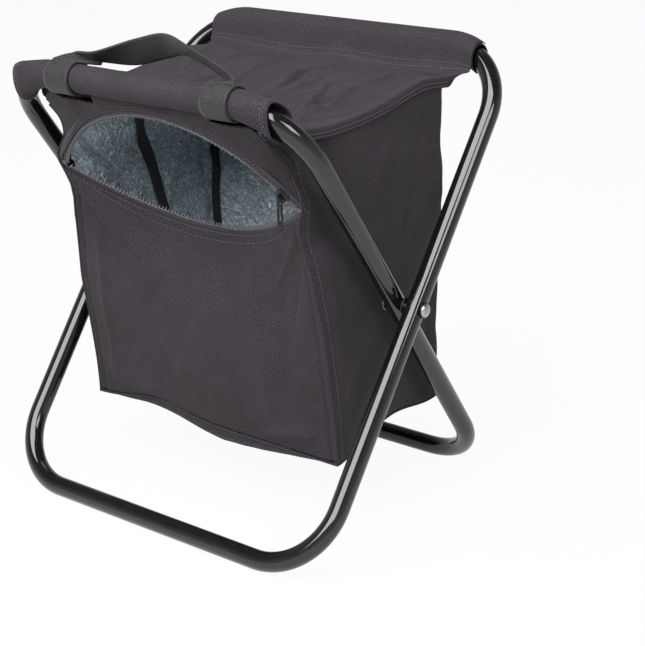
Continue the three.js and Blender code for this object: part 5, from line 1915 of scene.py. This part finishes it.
def build_floor():
    """A wide sheet of plain paper for the stool to stand on."""
    backdrop, tree = finish_of("white_studio_paper", "#c4c4c4", 0.85)
    room = add_node(tree, "TexCoord", out="Object")
    cloud = {"Vector": room, "Scale": per_metre(PAPER_CLOUD), "Detail": 2.0}
    mottle = {FACTOR: add_node(tree, "TexNoise", cloud, "Fac"), LOW: paint("#c0c0c0"), HIGH: paint("#c8c8c8")}
    patterned(backdrop, base_color=add_node(tree, "Mix", mottle, MIXED, data_type="RGBA"))
    whiten(tree)
    corners = [(x * FLOOR_HALF, y * FLOOR_HALF, 0) for x, y in ((-1, -1), (1, -1), (1, 1), (-1, 1))]
    add_mesh("studio_paper", corners, [(0, 1, 2, 3)], backdrop, smooth=False)


def build_world():
    """Soft light from all round, strongest low down; the camera and reflections see one even level."""
    world = bpy.data.worlds.new("studio")
    world.use_nodes = True
    tree = world.node_tree
    way = add_node(tree, "TexCoord", out="Generated")
    height = add_node(tree, "SeparateXYZ", {"Vector": way}, "Z")
    level = {"Value": height, "From Max": WORLD_TOP, "To Min": WORLD_LOW, "To Max": WORLD_HIGH}
    level = add_node(tree, "MapRange", level, "Result")
    ray = add_node(tree, "LightPath")
    seen = {0: ray.outputs["Is Camera Ray"], 1: ray.outputs["Is Glossy Ray"]}
    seen = add_node(tree, "Math", seen, 0, operation="MAXIMUM")
    strength = add_node(tree, "Mix", {"Factor": seen, "A": WORLD_FILL, "B": level}, "Result")
    light = tree.nodes["Background"]
    light.inputs["Color"].default_value = paint("#ffffff")
    tree.links.new(strength, light.inputs["Strength"])
    bpy.context.scene.world = world


def build_lamps():
    """Square softboxes, each aimed at the pivots."""
    for n, (place, size, share) in enumerate(LAMPS):
        lamp = bpy.data.lights.new(f"softbox_{n}", "AREA")
        lamp.size = size * MM
        lamp.energy = look().lamp_power * share
        thing = new_object(f"softbox_{n}", lamp)
        thing.location = Vector(place) * MM
        aim = Vector((0, 0, PIVOT_HEIGHT)) - Vector(place)
        thing.rotation_euler = aim.to_track_quat("-Z", "Y").to_euler()


def build_camera():
    """The camera at the photograph's place, with its angle of view."""
    right, up = Vector(CAMERA_RIGHT), Vector(CAMERA_UP)
    data = bpy.data.cameras.new("camera")
    data.sensor_fit = "HORIZONTAL"
    data.sensor_width = SENSOR_WIDTH
    data.lens = FOCAL_PIXELS * SENSOR_WIDTH / PHOTO_WIDTH
    camera = new_object("camera", data)
    turned = Matrix((right, up, right.cross(up))).transposed().to_4x4()
    camera.matrix_world = Matrix.Translation(Vector(CAMERA_PLACE) * MM) @ turned
    bpy.context.scene.camera = camera


def build_studio():
    build_floor()
    build_world()
    build_lamps()
    build_camera()
    bpy.context.scene.view_settings.view_transform = "Standard"


# Add-on


class StoolFrames(bpy.types.Operator):
    """Build the two bent tube frames"""

    bl_idname = "stool.frames"
    bl_label = "Tube frames"

    def execute(self, context):
        build_frames()
        return {"FINISHED"}


class StoolPivots(bpy.types.Operator):
    """Build the two rivets that the frames turn on, with their washers and spacers"""

    bl_idname = "stool.pivots"
    bl_label = "Pivots"

    def execute(self, context):
        build_pivots()
        return {"FINISHED"}


class StoolSeat(bpy.types.Operator):
    """Build the seat and the sleeves round the two top bars"""

    bl_idname = "stool.seat"
    bl_label = "Seat and sleeves"

    def execute(self, context):
        build_seat()
        return {"FINISHED"}


class StoolBag(bpy.types.Operator):
    """Build the bag's outer cloth and its seams"""

    bl_idname = "stool.bag"
    bl_label = "Bag"

    def execute(self, context):
        build_bag()
        return {"FINISHED"}


class StoolLining(bpy.types.Operator):
    """Build the foil lining and the tapes over its edges"""

    bl_idname = "stool.lining"
    bl_label = "Lining"

    def execute(self, context):
        build_lining()
        return {"FINISHED"}


class StoolZip(bpy.types.Operator):
    """Build the zip's tapes, teeth, stops, slider and pull"""

    bl_idname = "stool.zip"
    bl_label = "Zip"

    def execute(self, context):
        build_zip()
        return {"FINISHED"}


class StoolHandle(bpy.types.Operator):
    """Build the carry handle and its loops round the front bar"""

    bl_idname = "stool.handle"
    bl_label = "Handle"

    def execute(self, context):
        build_handle()
        return {"FINISHED"}


class StoolStudio(bpy.types.Operator):
    """Build the floor, the lamps and the camera"""

    bl_idname = "stool.studio"
    bl_label = "Studio"

    def execute(self, context):
        build_studio()
        return {"FINISHED"}


OPERATORS = (StoolFrames, StoolPivots, StoolSeat, StoolBag, StoolLining, StoolZip, StoolHandle, StoolStudio)


class StoolPanel(bpy.types.Panel):
    """Settings and pieces of the stool"""

    bl_idname = "VIEW3D_PT_stool"
    bl_label = "Folding cooler stool"
    bl_space_type = "VIEW_3D"
    bl_region_type = "UI"
    bl_category = "Stool"

    def draw(self, context):
        for name in StoolLook.__annotations__:
            self.layout.prop(context.scene.stool_look, name)
        for operator in OPERATORS:
            self.layout.operator(operator.bl_idname)


CLASSES = (StoolLook, *OPERATORS, StoolPanel)


def register():
    for one in CLASSES:
        bpy.utils.register_class(one)
    bpy.types.Scene.stool_look = PointerProperty(type=StoolLook)


def unregister():
    del bpy.types.Scene.stool_look
    for one in reversed(CLASSES):
        bpy.utils.unregister_class(one)


def main():
    register()
    bpy.ops.stool.frames()
    bpy.ops.stool.pivots()
    bpy.ops.stool.seat()
    bpy.ops.stool.bag()
    bpy.ops.stool.lining()
    bpy.ops.stool.zip()
    bpy.ops.stool.handle()
    bpy.ops.stool.studio()


if __name__ == "__main__":
    main()
